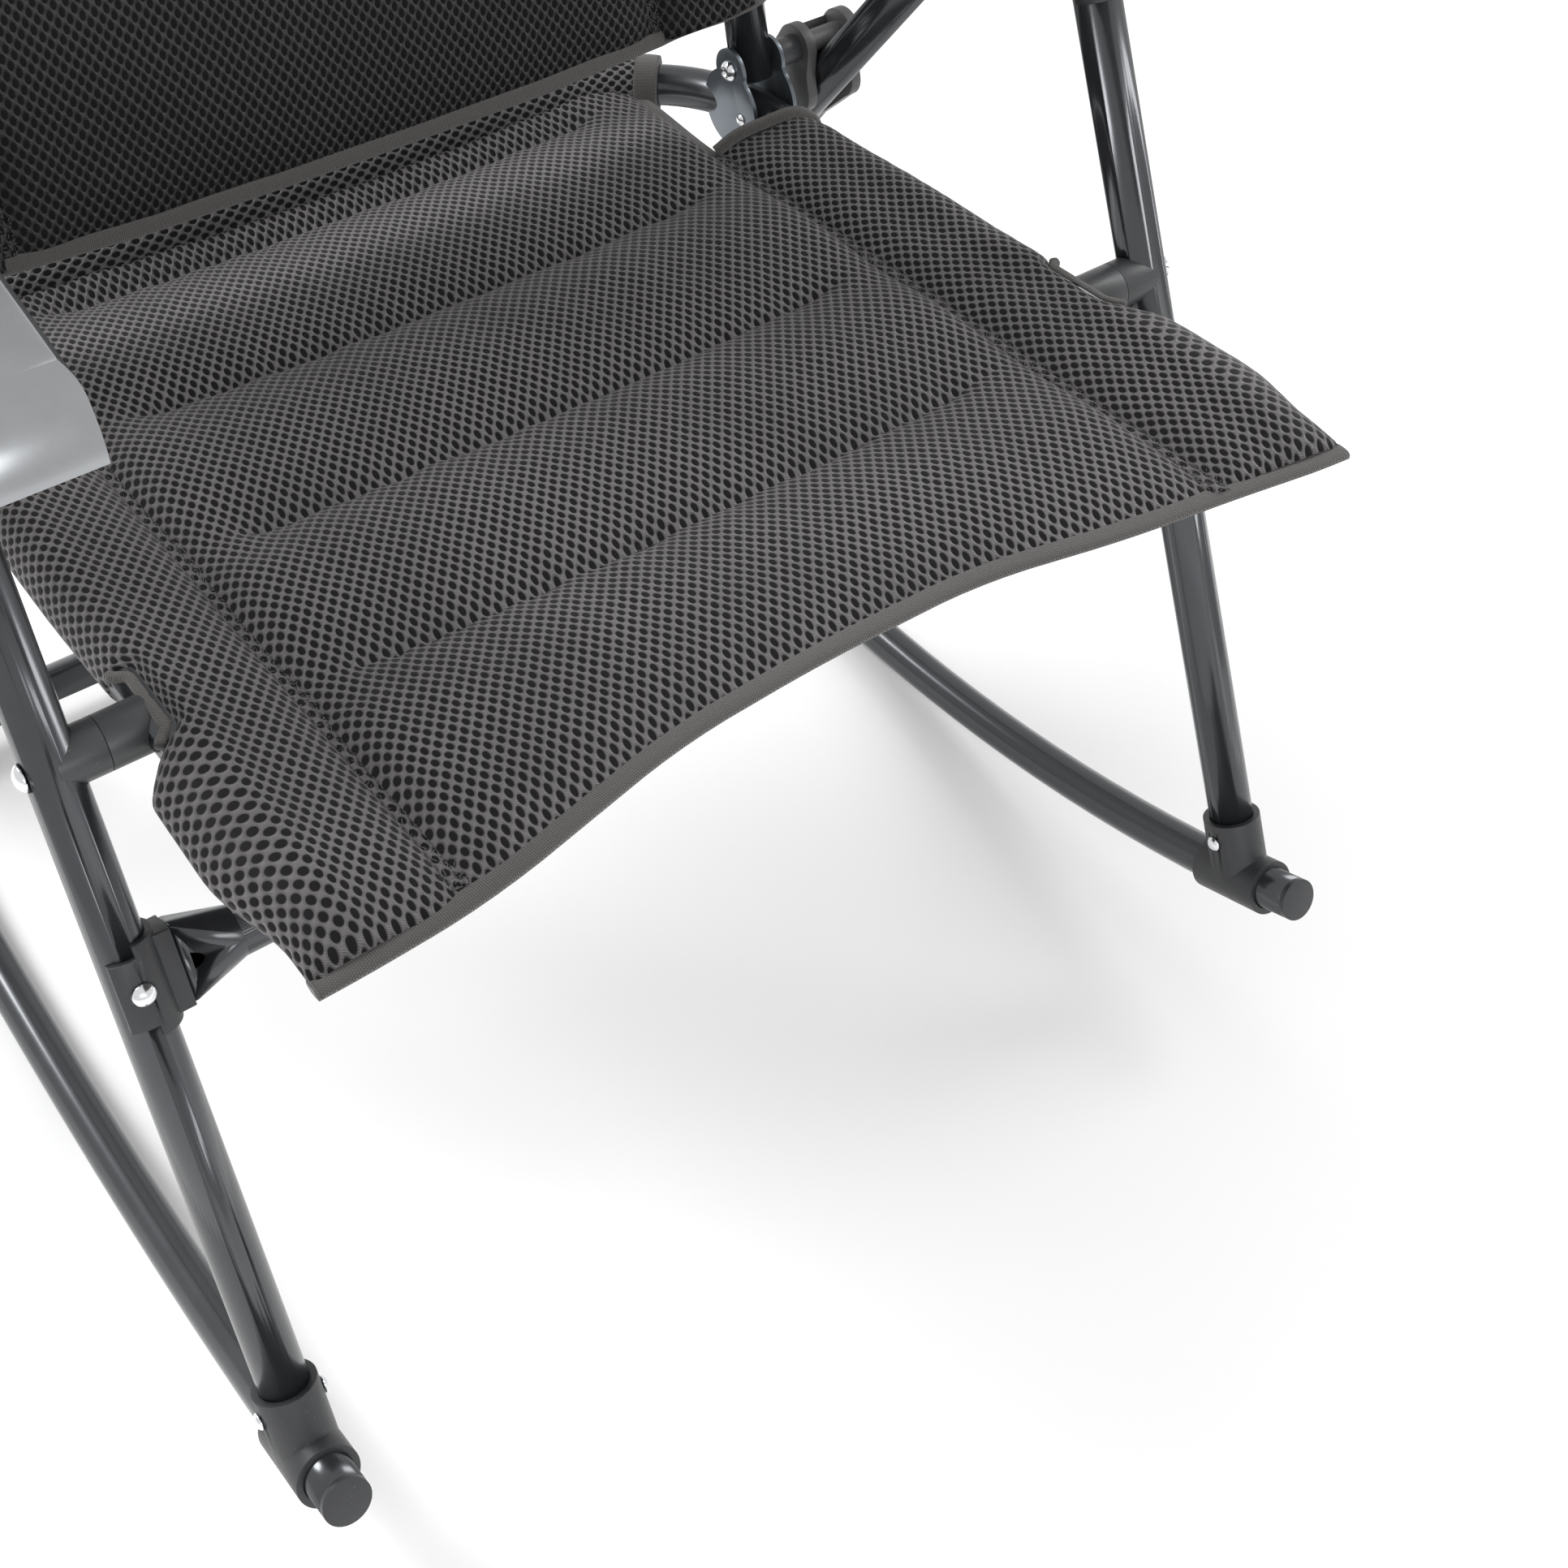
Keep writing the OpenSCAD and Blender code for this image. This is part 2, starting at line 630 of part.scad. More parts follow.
// Side view of an armrest: a long bar whose nose turns down
module arm_side(inset = 0) {
    translate([nose_r - arm_front, arm_base + inset / 2])
        square([arm_front - nose_r + arm_rear - inset, arm_top - arm_base - 1.5 * inset]);
    intersection() {
        translate([nose_r - arm_front, arm_top - nose_r]) circle(nose_r - inset, $fn = 96);
        translate([-arm_front, arm_lip]) square([nose_r + 0.01, arm_top - arm_lip]);
    }
}

// Cross-section of an armrest with rounded upper edges
module arm_section(inset = 0) {
    half = arm_w / 2 - inset;
    top = arm_top - inset;
    translate([-half, -40]) square([2 * half, top + 40 - edge_r]);
    translate([-half + edge_r, 0]) square([2 * (half - edge_r), top]);
    for (e = [-1, 1]) translate([e * (half - edge_r), top - edge_r]) circle(edge_r);
}

module arm_body(inset = 0) intersection() {
    side_slab(-arm_w, arm_w) arm_side(inset);
    translate([0, arm_rear + 10, 0]) rotate([90, 0, 0])
        linear_extrude(arm_front + arm_rear + 20) arm_section(inset);
}

module armrest(s) color("#9b9da0") scale_x(s) along_arm(leg_x) difference() {
    union() {
        difference() {
            arm_body();
            translate([0, 0, -1.5 * arm_wall]) arm_body(arm_wall);
        }
        translate([-arm_w / 2 + 1, -lug_y, arm_base]) cube([arm_w - 2, 2 * lug_y, 4]);
        for (e = [-1, 1]) translate([e * (cheek_gap + cheek_t / 2), 0, 0]) arm_cheek();
        translate([-cheek_gap - cheek_t / 2, stud_at, 0]) arm_cheek();
        translate([-arm_w / 2 + 1, stud_at - lug_y, arm_base]) cube([arm_w - 2, 2 * lug_y, 4]);
    }
    x_bar(-30, 30, pin_hole_d);
    translate([0, stud_at, 0]) x_bar(-30, 0, pin_hole_d);
}

// Rounded lug that hangs from an armrest round a pivot
module arm_cheek() {
    x_bar(-cheek_t / 2, cheek_t / 2, head_r * 2);
    translate([-cheek_t / 2, -head_r, 0]) cube([cheek_t, head_r * 2, arm_base + 1]);
}
module armrest_left() armrest(1);
module armrest_right() armrest(-1);

module arm_rear_rivets() color("#d8dadc") both() along_arm(leg_x) translate([0, stud_at, 0]) {
    x_bar(-cheek_gap - cheek_t, -cheek_gap + 0.5, pin_d);
    translate([-cheek_gap + 0.05, 0, 0]) rotate([0, 90, 0]) dome(13, 3);
}

front_leg_left();
front_leg_right();
front_cross_tube();
cross_saddles();
cross_rivets();
leg_heads();
seat_pivot_rivets();
outer_bushes();
runner_left();
runner_right();
runner_caps();
runner_cross_tube();
front_shoes();
rear_shoes();
rear_posts();
rear_cups();
shoe_bolts();
seat_tube();
seat_tube_plugs();
hinge_plates_left();
hinge_plates_right();
plate_rivets();
inner_bushes();
seat_pad();
seat_sleeve_left();
seat_sleeve_right();
seat_rear_sleeve();
hinge_bolts();
back_tube();
back_end_plugs();
back_pad();
back_sleeve_left();
back_sleeve_right();
back_top_sleeve();
arm_studs();
rear_leg_left();
rear_leg_right();
rear_cross_tube();
rear_leg_heads();
rear_foot_caps();
link_left();
link_right();
link_rivets();
link_bolts();
link_nuts();
link_spacers();
arm_pivot_pins();
armrest_left();
armrest_right();
arm_rear_rivets();
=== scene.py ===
"""Looks of the folding camp rocking chair: padded spacer mesh on a dark tube frame.

The hard parts, the moulded armrests among them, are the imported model's own solids with finishes on
them. The seat and back covers, their bindings, seams and stitches are built here around that frame.
"""

from __future__ import annotations

import json
import logging
import math
from dataclasses import dataclass, field
from enum import Enum
from typing import Callable, Iterable, Sequence

import bpy
import numpy as np
from mathutils import Matrix, Vector

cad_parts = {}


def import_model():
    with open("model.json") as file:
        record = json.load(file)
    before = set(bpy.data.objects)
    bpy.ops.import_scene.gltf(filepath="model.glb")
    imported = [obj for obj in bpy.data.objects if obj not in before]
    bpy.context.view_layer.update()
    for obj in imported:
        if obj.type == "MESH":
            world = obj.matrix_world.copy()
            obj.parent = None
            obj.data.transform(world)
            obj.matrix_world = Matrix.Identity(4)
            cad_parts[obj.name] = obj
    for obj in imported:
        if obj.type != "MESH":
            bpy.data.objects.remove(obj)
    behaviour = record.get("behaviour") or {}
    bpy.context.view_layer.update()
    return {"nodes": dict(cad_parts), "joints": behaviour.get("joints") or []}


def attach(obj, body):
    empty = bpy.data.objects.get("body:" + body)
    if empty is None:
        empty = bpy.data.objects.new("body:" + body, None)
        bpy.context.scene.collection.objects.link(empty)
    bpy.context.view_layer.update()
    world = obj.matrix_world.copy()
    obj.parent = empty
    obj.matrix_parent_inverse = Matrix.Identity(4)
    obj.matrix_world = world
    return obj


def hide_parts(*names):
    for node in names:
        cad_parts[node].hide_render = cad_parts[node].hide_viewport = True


log = logging.getLogger("chair")
MM = 0.001

#: degrees that the seat's side tubes rise towards the front, and that the back leans
SEAT_SLOPE = 5.6
BACK_LEAN = 17.0

#: height of the hinge bolts over the seat tube's axis, in millimetres
HINGE_RISE = 28.0


class Body(str, Enum):
    """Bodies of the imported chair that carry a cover."""

    SEAT = "seat"
    BACK = "back"


class Slot(str, Enum):
    """Material slots of the covers."""

    SEAT = "seat_fabric"
    BACK = "back_fabric"


# ---------------------------------------------------------------- shader writing


class NodeWriter:
    """Writes shader nodes into a tree with short calls.

    Args:
        tree: the node tree that gets the nodes.
    """

    def __init__(self, tree: bpy.types.NodeTree) -> None:
        self.tree = tree

    def add(self, kind: str, **settings: object) -> bpy.types.Node:
        """Adds a node.

        Args:
            kind: Blender's node type name.
            settings: attributes to set on it.

        Returns:
            The new node.
        """
        node = self.tree.nodes.new(kind)
        for name, value in settings.items():
            setattr(node, name, value)
        return node

    def put(self, socket: bpy.types.NodeSocket, value: object) -> None:
        """Links a socket to a value, or sets it where the value is plain.

        Args:
            socket: the input to fill.
            value: an output socket, a number or a tuple.
        """
        if isinstance(value, bpy.types.NodeSocket):
            self.tree.links.new(value, socket)
        else:
            socket.default_value = value

    def math(self, operation: str, *values: object, clamp: bool = False) -> bpy.types.NodeSocket:
        """Adds a Math node.

        Args:
            operation: the node's operation.
            values: its inputs, in order.
            clamp: whether the result is kept between 0 and 1.

        Returns:
            Its output.
        """
        node = self.add("ShaderNodeMath", operation=operation, use_clamp=clamp)
        for socket, value in zip(node.inputs, values):
            self.put(socket, value)
        return node.outputs[0]

    def ramp(self, value: object, low: float, high: float, out_low: float = 0.0,
             out_high: float = 1.0) -> bpy.types.NodeSocket:
        """Adds a smooth step from one value range to another.

        Args:
            value: the input.
            low: input where the step starts.
            high: input where it ends.
            out_low: output at the start.
            out_high: output at the end.

        Returns:
            The stepped value.
        """
        node = self.add("ShaderNodeMapRange", interpolation_type="SMOOTHSTEP")
        for socket, item in zip(node.inputs, (value, low, high, out_low, out_high)):
            self.put(socket, item)
        return node.outputs[0]

    def noise(self, vector: object, scale: float, detail: float = 2.0,
              roughness: float = 0.5) -> bpy.types.NodeSocket:
        """Adds a noise texture.

        Args:
            vector: where it is read.
            scale: cells per metre.
            detail: number of finer layers.
            roughness: strength of the finer layers.

        Returns:
            The noise value, 0 to 1.
        """
        node = self.add("ShaderNodeTexNoise")
        self.put(node.inputs["Vector"], vector)
        node.inputs["Scale"].default_value = scale
        node.inputs["Detail"].default_value = detail
        node.inputs["Roughness"].default_value = roughness
        return node.outputs["Fac"]

    def mix(self, factor: object, a: object, b: object) -> bpy.types.NodeSocket:
        """Mixes two colours.

        Args:
            factor: share of the second colour.
            a: first colour.
            b: second colour.

        Returns:
            The mixed colour.
        """
        node = self.add("ShaderNodeMix", data_type="RGBA")
        self.put(node.inputs[0], factor)
        self.put(node.inputs[6], a)
        self.put(node.inputs[7], b)
        return node.outputs[2]

    def bump(self, height: object, distance: float, strength: float = 1.0,
             normal: object = None) -> bpy.types.NodeSocket:
        """Adds a bump node.

        Args:
            height: height, 0 to 1.
            distance: depth in metres of a height of 1.
            strength: share of the effect.
            normal: an earlier normal to build on.

        Returns:
            The bumped normal.
        """
        node = self.add("ShaderNodeBump")
        self.put(node.inputs["Height"], height)
        node.inputs["Distance"].default_value = distance
        node.inputs["Strength"].default_value = strength
        if normal is not None:
            self.put(node.inputs["Normal"], normal)
        return node.outputs["Normal"]


def new_group(name: str, inputs: dict[str, object], outputs: Sequence[tuple[str, str]]
              ) -> tuple[bpy.types.NodeTree, NodeWriter, bpy.types.Node, bpy.types.Node]:
    """Starts a shader group with named sockets.

    Args:
        name: the group's name.
        inputs: input name to default value; None makes a vector.
        outputs: output names with their socket types.

    Returns:
        The tree, its writer, its input node and its output node.
    """
    tree = bpy.data.node_groups.new(name, "ShaderNodeTree")
    for label, value in inputs.items():
        kind = "NodeSocketVector" if value is None else "NodeSocketFloat"
        if isinstance(value, tuple):
            kind = "NodeSocketColor"
        socket = tree.interface.new_socket(label, in_out="INPUT", socket_type=kind)
        if value is not None:
            socket.default_value = value
    for label, kind in outputs:
        tree.interface.new_socket(label, in_out="OUTPUT", socket_type=kind)
    writer = NodeWriter(tree)
    return tree, writer, writer.add("NodeGroupInput"), writer.add("NodeGroupOutput")


FLOAT, COLOUR, NORMAL = "NodeSocketFloat", "NodeSocketColor", "NodeSocketVector"


def spacer_mesh_group() -> bpy.types.NodeTree:
    """Knitted spacer mesh: staggered oval holes between wavy ribbons of fine thread.

    Returns:
        A group that takes a place in metres and gives hole depth, ribbon height and thread lines.
    """
    tree, w, i, o = new_group(
        "spacer mesh",
        {"Place": None, "Pitch": 0.0087, "Row": 0.0064, "Hole length": 0.0056, "Hole width": 0.0036},
        [("Hole", FLOAT), ("Height", FLOAT), ("Thread", FLOAT)],
    )
    split = w.add("ShaderNodeSeparateXYZ")
    w.put(split.inputs[0], i.outputs["Place"])
    across, along = split.outputs[0], split.outputs[1]
    wobble = w.math("MULTIPLY", w.math("SUBTRACT", w.noise(i.outputs["Place"], 55.0), 0.5), 0.0016)
    across, along = w.math("ADD", across, wobble), w.math("ADD", along, wobble)
    rings = []
    for shift in (0.0, 0.5):
        parts = []
        for value, pitch, size in ((along, "Pitch", "Hole length"), (across, "Row", "Hole width")):
            cell = w.math("FRACT", w.math("ADD", w.math("DIVIDE", value, i.outputs[pitch]), shift))
            offset = w.math("MULTIPLY", w.math("SUBTRACT", cell, 0.5), i.outputs[pitch])
            parts.append(w.math("POWER", w.math("ABSOLUTE", w.math(
                "DIVIDE", offset, w.math("MULTIPLY", i.outputs[size], 0.5))), 2.0))
        rings.append(w.math("SQRT", w.math("ADD", *parts)))
    ring = w.math("MINIMUM", *rings)
    hole = w.ramp(ring, 1.08, 0.74)
    rung = w.math("SINE", w.math("MULTIPLY", w.math("ADD", along, w.math("MULTIPLY", across, 0.35)), 9200.0))
    rung = w.math("MULTIPLY_ADD", rung, 0.5, 0.5)
    strand = w.math("SINE", w.math("MULTIPLY", ring, 21.0))
    strand = w.math("MULTIPLY_ADD", strand, 0.5, 0.5)
    fuzz = w.noise(i.outputs["Place"], 2400.0, 3.0, 0.7)
    thread = w.math("ADD", w.math("MULTIPLY", rung, 0.45), w.math("MULTIPLY", strand, 0.25))
    thread = w.math("ADD", thread, w.math("MULTIPLY", fuzz, 0.5), clamp=True)
    crown = w.ramp(ring, 0.8, 1.45)
    height = w.math("ADD", w.math("MULTIPLY", crown, 0.72), w.math("MULTIPLY", thread, 0.2))
    height = w.math("MULTIPLY", height, w.math("SUBTRACT", 1.0, w.math("MULTIPLY", hole, 0.9)))
    w.put(o.inputs["Hole"], hole)
    w.put(o.inputs["Height"], height)
    w.put(o.inputs["Thread"], thread)
    return tree


def grosgrain_group() -> bpy.types.NodeTree:
    """Ribbed tape: cords side by side across the tape, wound with fine thread.

    Returns:
        A group that takes a place in metres and gives height.
    """
    tree, w, i, o = new_group("grosgrain", {"Place": None, "Rib": 0.0011}, [("Height", FLOAT)])
    split = w.add("ShaderNodeSeparateXYZ")
    w.put(split.inputs[0], i.outputs["Place"])
    run = w.math("DIVIDE", split.outputs[1], i.outputs["Rib"])
    rib = w.math("ABSOLUTE", w.math("SINE", w.math("MULTIPLY", run, math.pi)))
    step = w.math("MULTIPLY", w.math("FLOOR", run), 0.5)
    beads = w.math("ADD", w.math("DIVIDE", split.outputs[0], 0.0012), step)
    bead = w.math("ABSOLUTE", w.math("SINE", w.math("MULTIPLY", beads, math.pi)))
    height = w.math("MULTIPLY", w.math("POWER", rib, 0.6), w.math("MULTIPLY_ADD", bead, 0.55, 0.45))
    fuzz = w.noise(i.outputs["Place"], 1500.0, 3.0, 0.7)
    w.put(o.inputs["Height"], w.math("ADD", height, w.math("MULTIPLY", fuzz, 0.25)))
    return tree


def grain_group() -> bpy.types.NodeTree:
    """Moulded grain and light handling marks for plastic and paint.

    Returns:
        A group that takes a place in metres and gives grain height, mottle and dust.
    """
    tree, w, i, o = new_group(
        "moulded grain", {"Place": None, "Scale": 1400.0},
        [("Height", FLOAT), ("Mottle", FLOAT), ("Dust", FLOAT)])
    cells = w.add("ShaderNodeTexVoronoi", feature="SMOOTH_F1")
    w.put(cells.inputs["Vector"], i.outputs["Place"])
    w.put(cells.inputs["Scale"], i.outputs["Scale"])
    fine = w.noise(i.outputs["Place"], 2600.0, 2.0, 0.6)
    w.put(o.inputs["Height"], w.math("ADD", w.math("MULTIPLY", cells.outputs["Distance"], 0.6),
                                     w.math("MULTIPLY", fine, 0.4)))
    w.put(o.inputs["Mottle"], w.noise(i.outputs["Place"], 38.0, 4.0, 0.6))
    specks = w.noise(i.outputs["Place"], 900.0, 2.0, 0.5)
    w.put(o.inputs["Dust"], w.ramp(specks, 0.68, 0.78))
    return tree


class Groups:
    """Makes each shader group once and hands it out again."""

    makers: dict[str, Callable[[], bpy.types.NodeTree]] = {
        "mesh": spacer_mesh_group, "tape": grosgrain_group, "grain": grain_group}

    def __init__(self) -> None:
        self.made: dict[str, bpy.types.NodeTree] = {}

    def use(self, w: NodeWriter, name: str, place: object, **values: float) -> bpy.types.Node:
        """Adds a group node.

        Args:
            w: writer of the material's tree.
            name: one of the makers' names.
            place: vector that the group reads.
            values: other inputs by name, with _ for a space.

        Returns:
            The group node.
        """
        if name not in self.made:
            self.made[name] = self.makers[name]()
        node = w.add("ShaderNodeGroup")
        node.node_tree = self.made[name]
        w.put(node.inputs["Place"], place)
        for key, value in values.items():
            node.inputs[key.replace("_", " ")].default_value = value
        return node


GROUPS = Groups()
Colour = tuple[float, float, float]


def rgba(colour: Colour, gain: float = 1.0) -> tuple[float, float, float, float]:
    """Turns a colour into four numbers.

    Args:
        colour: red, green and blue.
        gain: factor on all three.

    Returns:
        The colour with full cover.
    """
    return (colour[0] * gain, colour[1] * gain, colour[2] * gain, 1.0)


@dataclass(frozen=True)
class Finish:
    """A material's look.

    Args:
        name: the material's name.
        colour: its main colour.
        roughness: its main roughness.
    """

    name: str
    colour: Colour
    roughness: float = 0.5

    def make(self) -> bpy.types.Material:
        """Builds the material, or finds it if it was built before.

        Returns:
            The material.
        """
        found = bpy.data.materials.get(self.name)
        if found:
            return found
        material = bpy.data.materials.new(self.name)
        material.use_nodes = True
        tree = material.node_tree
        shader = tree.nodes["Principled BSDF"]
        shader.inputs["Base Color"].default_value = rgba(self.colour)
        shader.inputs["Roughness"].default_value = self.roughness
        self.write(NodeWriter(tree), shader)
        return material

    def write(self, w: NodeWriter, shader: bpy.types.Node) -> None:
        """Adds the finish's own nodes. Plain by default.

        Args:
            w: writer of the material's tree.
            shader: its Principled node.
        """


@dataclass(frozen=True)
class Mesh(Finish):
    """Padded spacer mesh."""

    # lighter thread colour: painted highlight on the yarn
    thread: Colour = (0.16, 0.155, 0.15)
    # near black colour of the holes: painted shade
    painted_hole_shade: Colour = (0.008, 0.008, 0.009)
    sheen: float = 0.25

    def write(self, w: NodeWriter, shader: bpy.types.Node) -> None:
        """Colours threads, ribbons and holes, with a painted highlight on the lighter threads and painted
        shade in the dark holes, and raises the knit.
        """
        place = w.add("ShaderNodeUVMap", uv_map="cloth").outputs[0]
        knit = GROUPS.use(w, "mesh", place)
        blotch = w.noise(place, 9.0, 3.0, 0.6)
        # threads take the lighter colour: painted highlight on the yarn
        ribbon = w.mix(knit.outputs["Thread"], rgba(self.colour), rgba(self.thread))
        ribbon = w.mix(w.ramp(blotch, 0.3, 0.75, 0.0, 0.4), ribbon, rgba(self.colour, 0.7))
        # the holes take a near black colour: painted shade in the knit's hollows
        colour = w.mix(knit.outputs["Hole"], ribbon, rgba(self.painted_hole_shade))
        w.put(shader.inputs["Base Color"], colour)
        w.put(shader.inputs["Roughness"], w.ramp(knit.outputs["Thread"], 0.0, 1.0, 0.78, 0.48))
        w.put(shader.inputs["Specular IOR Level"],
              w.math("MULTIPLY_ADD", knit.outputs["Hole"], -0.45, 0.5))
        shader.inputs["Sheen Weight"].default_value = self.sheen
        shader.inputs["Sheen Roughness"].default_value = 0.4
        shader.inputs["Sheen Tint"].default_value = (0.8, 0.78, 0.76, 1.0)
        w.put(shader.inputs["Normal"], w.bump(knit.outputs["Height"], 0.0016, 0.9))


@dataclass(frozen=True)
class Tape(Finish):
    """Ribbed binding tape."""

    def write(self, w: NodeWriter, shader: bpy.types.Node) -> None:
        """Colours the ribs, darker between the cords as painted shade and lighter on their crowns as painted
        highlight, and raises them.
        """
        place = w.add("ShaderNodeUVMap", uv_map="cloth").outputs[0]
        tape = GROUPS.use(w, "tape", place)
        # colour follows rib height: painted shade in the grooves, painted highlight on the crowns
        w.put(shader.inputs["Base Color"],
              w.mix(tape.outputs["Height"], rgba(self.colour, 0.35), rgba(self.colour, 1.25)))
        shader.inputs["Sheen Weight"].default_value = 0.3
        shader.inputs["Sheen Roughness"].default_value = 0.5
        w.put(shader.inputs["Normal"], w.bump(tape.outputs["Height"], 0.0006, 0.9))


@dataclass(frozen=True)
class Plastic(Finish):
    """Moulded plastic with a fine grain."""

    grain: float = 0.00006
    dust: float = 0.25

    def write(self, w: NodeWriter, shader: bpy.types.Node) -> None:
        """Adds grain, mottle and a few pale specks."""
        place = w.add("ShaderNodeTexCoord").outputs["Object"]
        grain = GROUPS.use(w, "grain", place)
        colour = w.mix(w.ramp(grain.outputs["Mottle"], 0.3, 0.7, 0.0, 0.5), rgba(self.colour),
                       rgba(self.colour, 1.35))
        speck = w.math("MULTIPLY", grain.outputs["Dust"], self.dust)
        w.put(shader.inputs["Base Color"], w.mix(speck, colour, (0.35, 0.35, 0.34, 1.0)))
        w.put(shader.inputs["Roughness"], w.ramp(
            grain.outputs["Mottle"], 0.3, 0.7, self.roughness - 0.05, self.roughness + 0.06))
        w.put(shader.inputs["Normal"], w.bump(grain.outputs["Height"], self.grain, 0.8))


@dataclass(frozen=True)
class Metal(Finish):
    """Painted, plated or bare metal."""

    metallic: float = 1.0
    coat: float = 0.0
    orange_peel: float = 0.000008

    def write(self, w: NodeWriter, shader: bpy.types.Node) -> None:
        """Adds a slight ripple, rub marks and an optional clear coat."""
        place = w.add("ShaderNodeTexCoord").outputs["Object"]
        grain = GROUPS.use(w, "grain", place, Scale=420.0)
        w.put(shader.inputs["Base Color"], w.mix(
            w.ramp(grain.outputs["Mottle"], 0.3, 0.75), rgba(self.colour, 0.96), rgba(self.colour, 1.04)))
        w.put(shader.inputs["Roughness"], w.ramp(
            grain.outputs["Mottle"], 0.25, 0.75, self.roughness - 0.015, self.roughness + 0.02))
        shader.inputs["Metallic"].default_value = self.metallic
        shader.inputs["Coat Weight"].default_value = self.coat
        shader.inputs["Coat Roughness"].default_value = 0.12
        w.put(shader.inputs["Normal"], w.bump(grain.outputs["Height"], self.orange_peel, 0.6))


@dataclass(frozen=True)
class Palette:
    """All finishes of the chair."""

    tube: Finish = Metal("powder coated tube", (0.062, 0.065, 0.07), 0.24, metallic=0.75, coat=0.3)
    plate: Finish = Metal("coated plate", (0.15, 0.17, 0.19), 0.36, metallic=0.8, coat=0.1)
    zinc: Finish = Metal("bright zinc", (0.78, 0.79, 0.80), 0.16, metallic=1.0)
    black: Finish = Plastic("black plastic", (0.022, 0.023, 0.025), 0.42)
    bush: Finish = Plastic("bush plastic", (0.035, 0.036, 0.038), 0.4)
    link: Finish = Plastic("link plastic", (0.05, 0.05, 0.052), 0.46, grain=0.00009)
    grey: Finish = Metal("armrest paint", (0.34, 0.35, 0.36), 0.27, metallic=0.92, coat=0.1,
                         orange_peel=0.00001)
    # the meshes' thread colours are painted highlight on the yarn, and their holes get painted shade
    seat: Finish = Mesh("seat mesh", (0.041, 0.0385, 0.039), 0.6, thread=(0.175, 0.165, 0.167))
    back: Finish = Mesh("back mesh", (0.006, 0.006, 0.0065), 0.6, thread=(0.036, 0.036, 0.037), sheen=0.03)
    tape: Finish = Tape("binding tape", (0.052, 0.048, 0.045), 0.75)
    dark_tape: Finish = Tape("back binding tape", (0.05, 0.046, 0.043), 0.75)
    thread: Finish = Finish("sewing thread", (0.05, 0.048, 0.047), 0.6)
    yarn: Finish = Finish("loose yarn", (0.15, 0.145, 0.14), 0.6)


FINISHES = Palette()


# ---------------------------------------------------------------- geometry helpers


@dataclass(frozen=True)
class Place:
    """A local frame in the chair: x stays across, s runs along, n stands off the cloth.

    Args:
        origin: the local zero, in metres.
        along: unit vector of s.
        normal: unit vector of n.
    """

    origin: np.ndarray
    along: np.ndarray
    normal: np.ndarray

    def world(self, points: np.ndarray) -> np.ndarray:
        """Turns (x, s, n) in millimetres into metres in the chair's frame.

        Args:
            points: array whose last axis is x, s, n.

        Returns:
            The same array in the chair's frame.
        """
        p = np.asarray(points, float) * MM
        across = np.array([1.0, 0.0, 0.0])
        return (self.origin + p[..., :1] * across + p[..., 1:2] * self.along + p[..., 2:3] * self.normal)


def tilted(origin: Vector, degrees: float, along: str) -> Place:
    """A frame tilted about X.

    Args:
        origin: its zero, in metres.
        degrees: tilt; positive raises +Y towards +Z.
        along: "y" for a seat-like frame or "z" for a back-like one.

    Returns:
        The frame.
    """
    c, s = math.cos(math.radians(degrees)), math.sin(math.radians(degrees))
    y, z = np.array([0.0, c, s]), np.array([0.0, -s, c])
    return Place(np.array(origin), y, z) if along == "y" else Place(np.array(origin), z, -y)


def build(name: str, verts: np.ndarray, faces: Sequence[Sequence[int]], finish: Finish,
          uvs: np.ndarray | None = None, smooth: bool = True) -> bpy.types.Object:
    """Makes a mesh object at the origin.

    Args:
        name: the piece's name.
        verts: its points, in metres.
        faces: its faces, as point numbers.
        finish: its finish.
        uvs: one pair per point, in metres, for the cloth map.
        smooth: whether its faces are smooth.

    Returns:
        The new object.
    """
    data = bpy.data.meshes.new(name)
    data.from_pydata(np.asarray(verts, float).reshape(-1, 3).tolist(), [], [list(f) for f in faces])
    if uvs is not None:
        flat = np.asarray(uvs, float).reshape(-1, 2)
        layer = data.uv_layers.new(name="cloth")
        index = np.zeros(len(data.loops), int)
        data.loops.foreach_get("vertex_index", index)
        layer.data.foreach_set("uv", flat[index].ravel())
    data.polygons.foreach_set("use_smooth", [smooth] * len(data.polygons))
    data.materials.append(finish.make())
    data.update()
    thing = bpy.data.objects.new(name, data)
    bpy.context.scene.collection.objects.link(thing)
    return thing


def strip_faces(rows: int, columns: int, wrap: bool, start: int = 0, flip: bool = False) -> list[list[int]]:
    """Faces of a grid of points.

    Args:
        rows: number of rows.
        columns: points in each row.
        wrap: whether each row closes on itself.
        start: number of the first point.
        flip: whether the faces turn the other way.

    Returns:
        The faces.
    """
    out = []
    for r in range(rows - 1):
        for c in range(columns if wrap else columns - 1):
            a, b = start + r * columns + c, start + r * columns + (c + 1) % columns
            quad = [a, b, b + columns, a + columns]
            out.append(quad[::-1] if flip else quad)
    return out


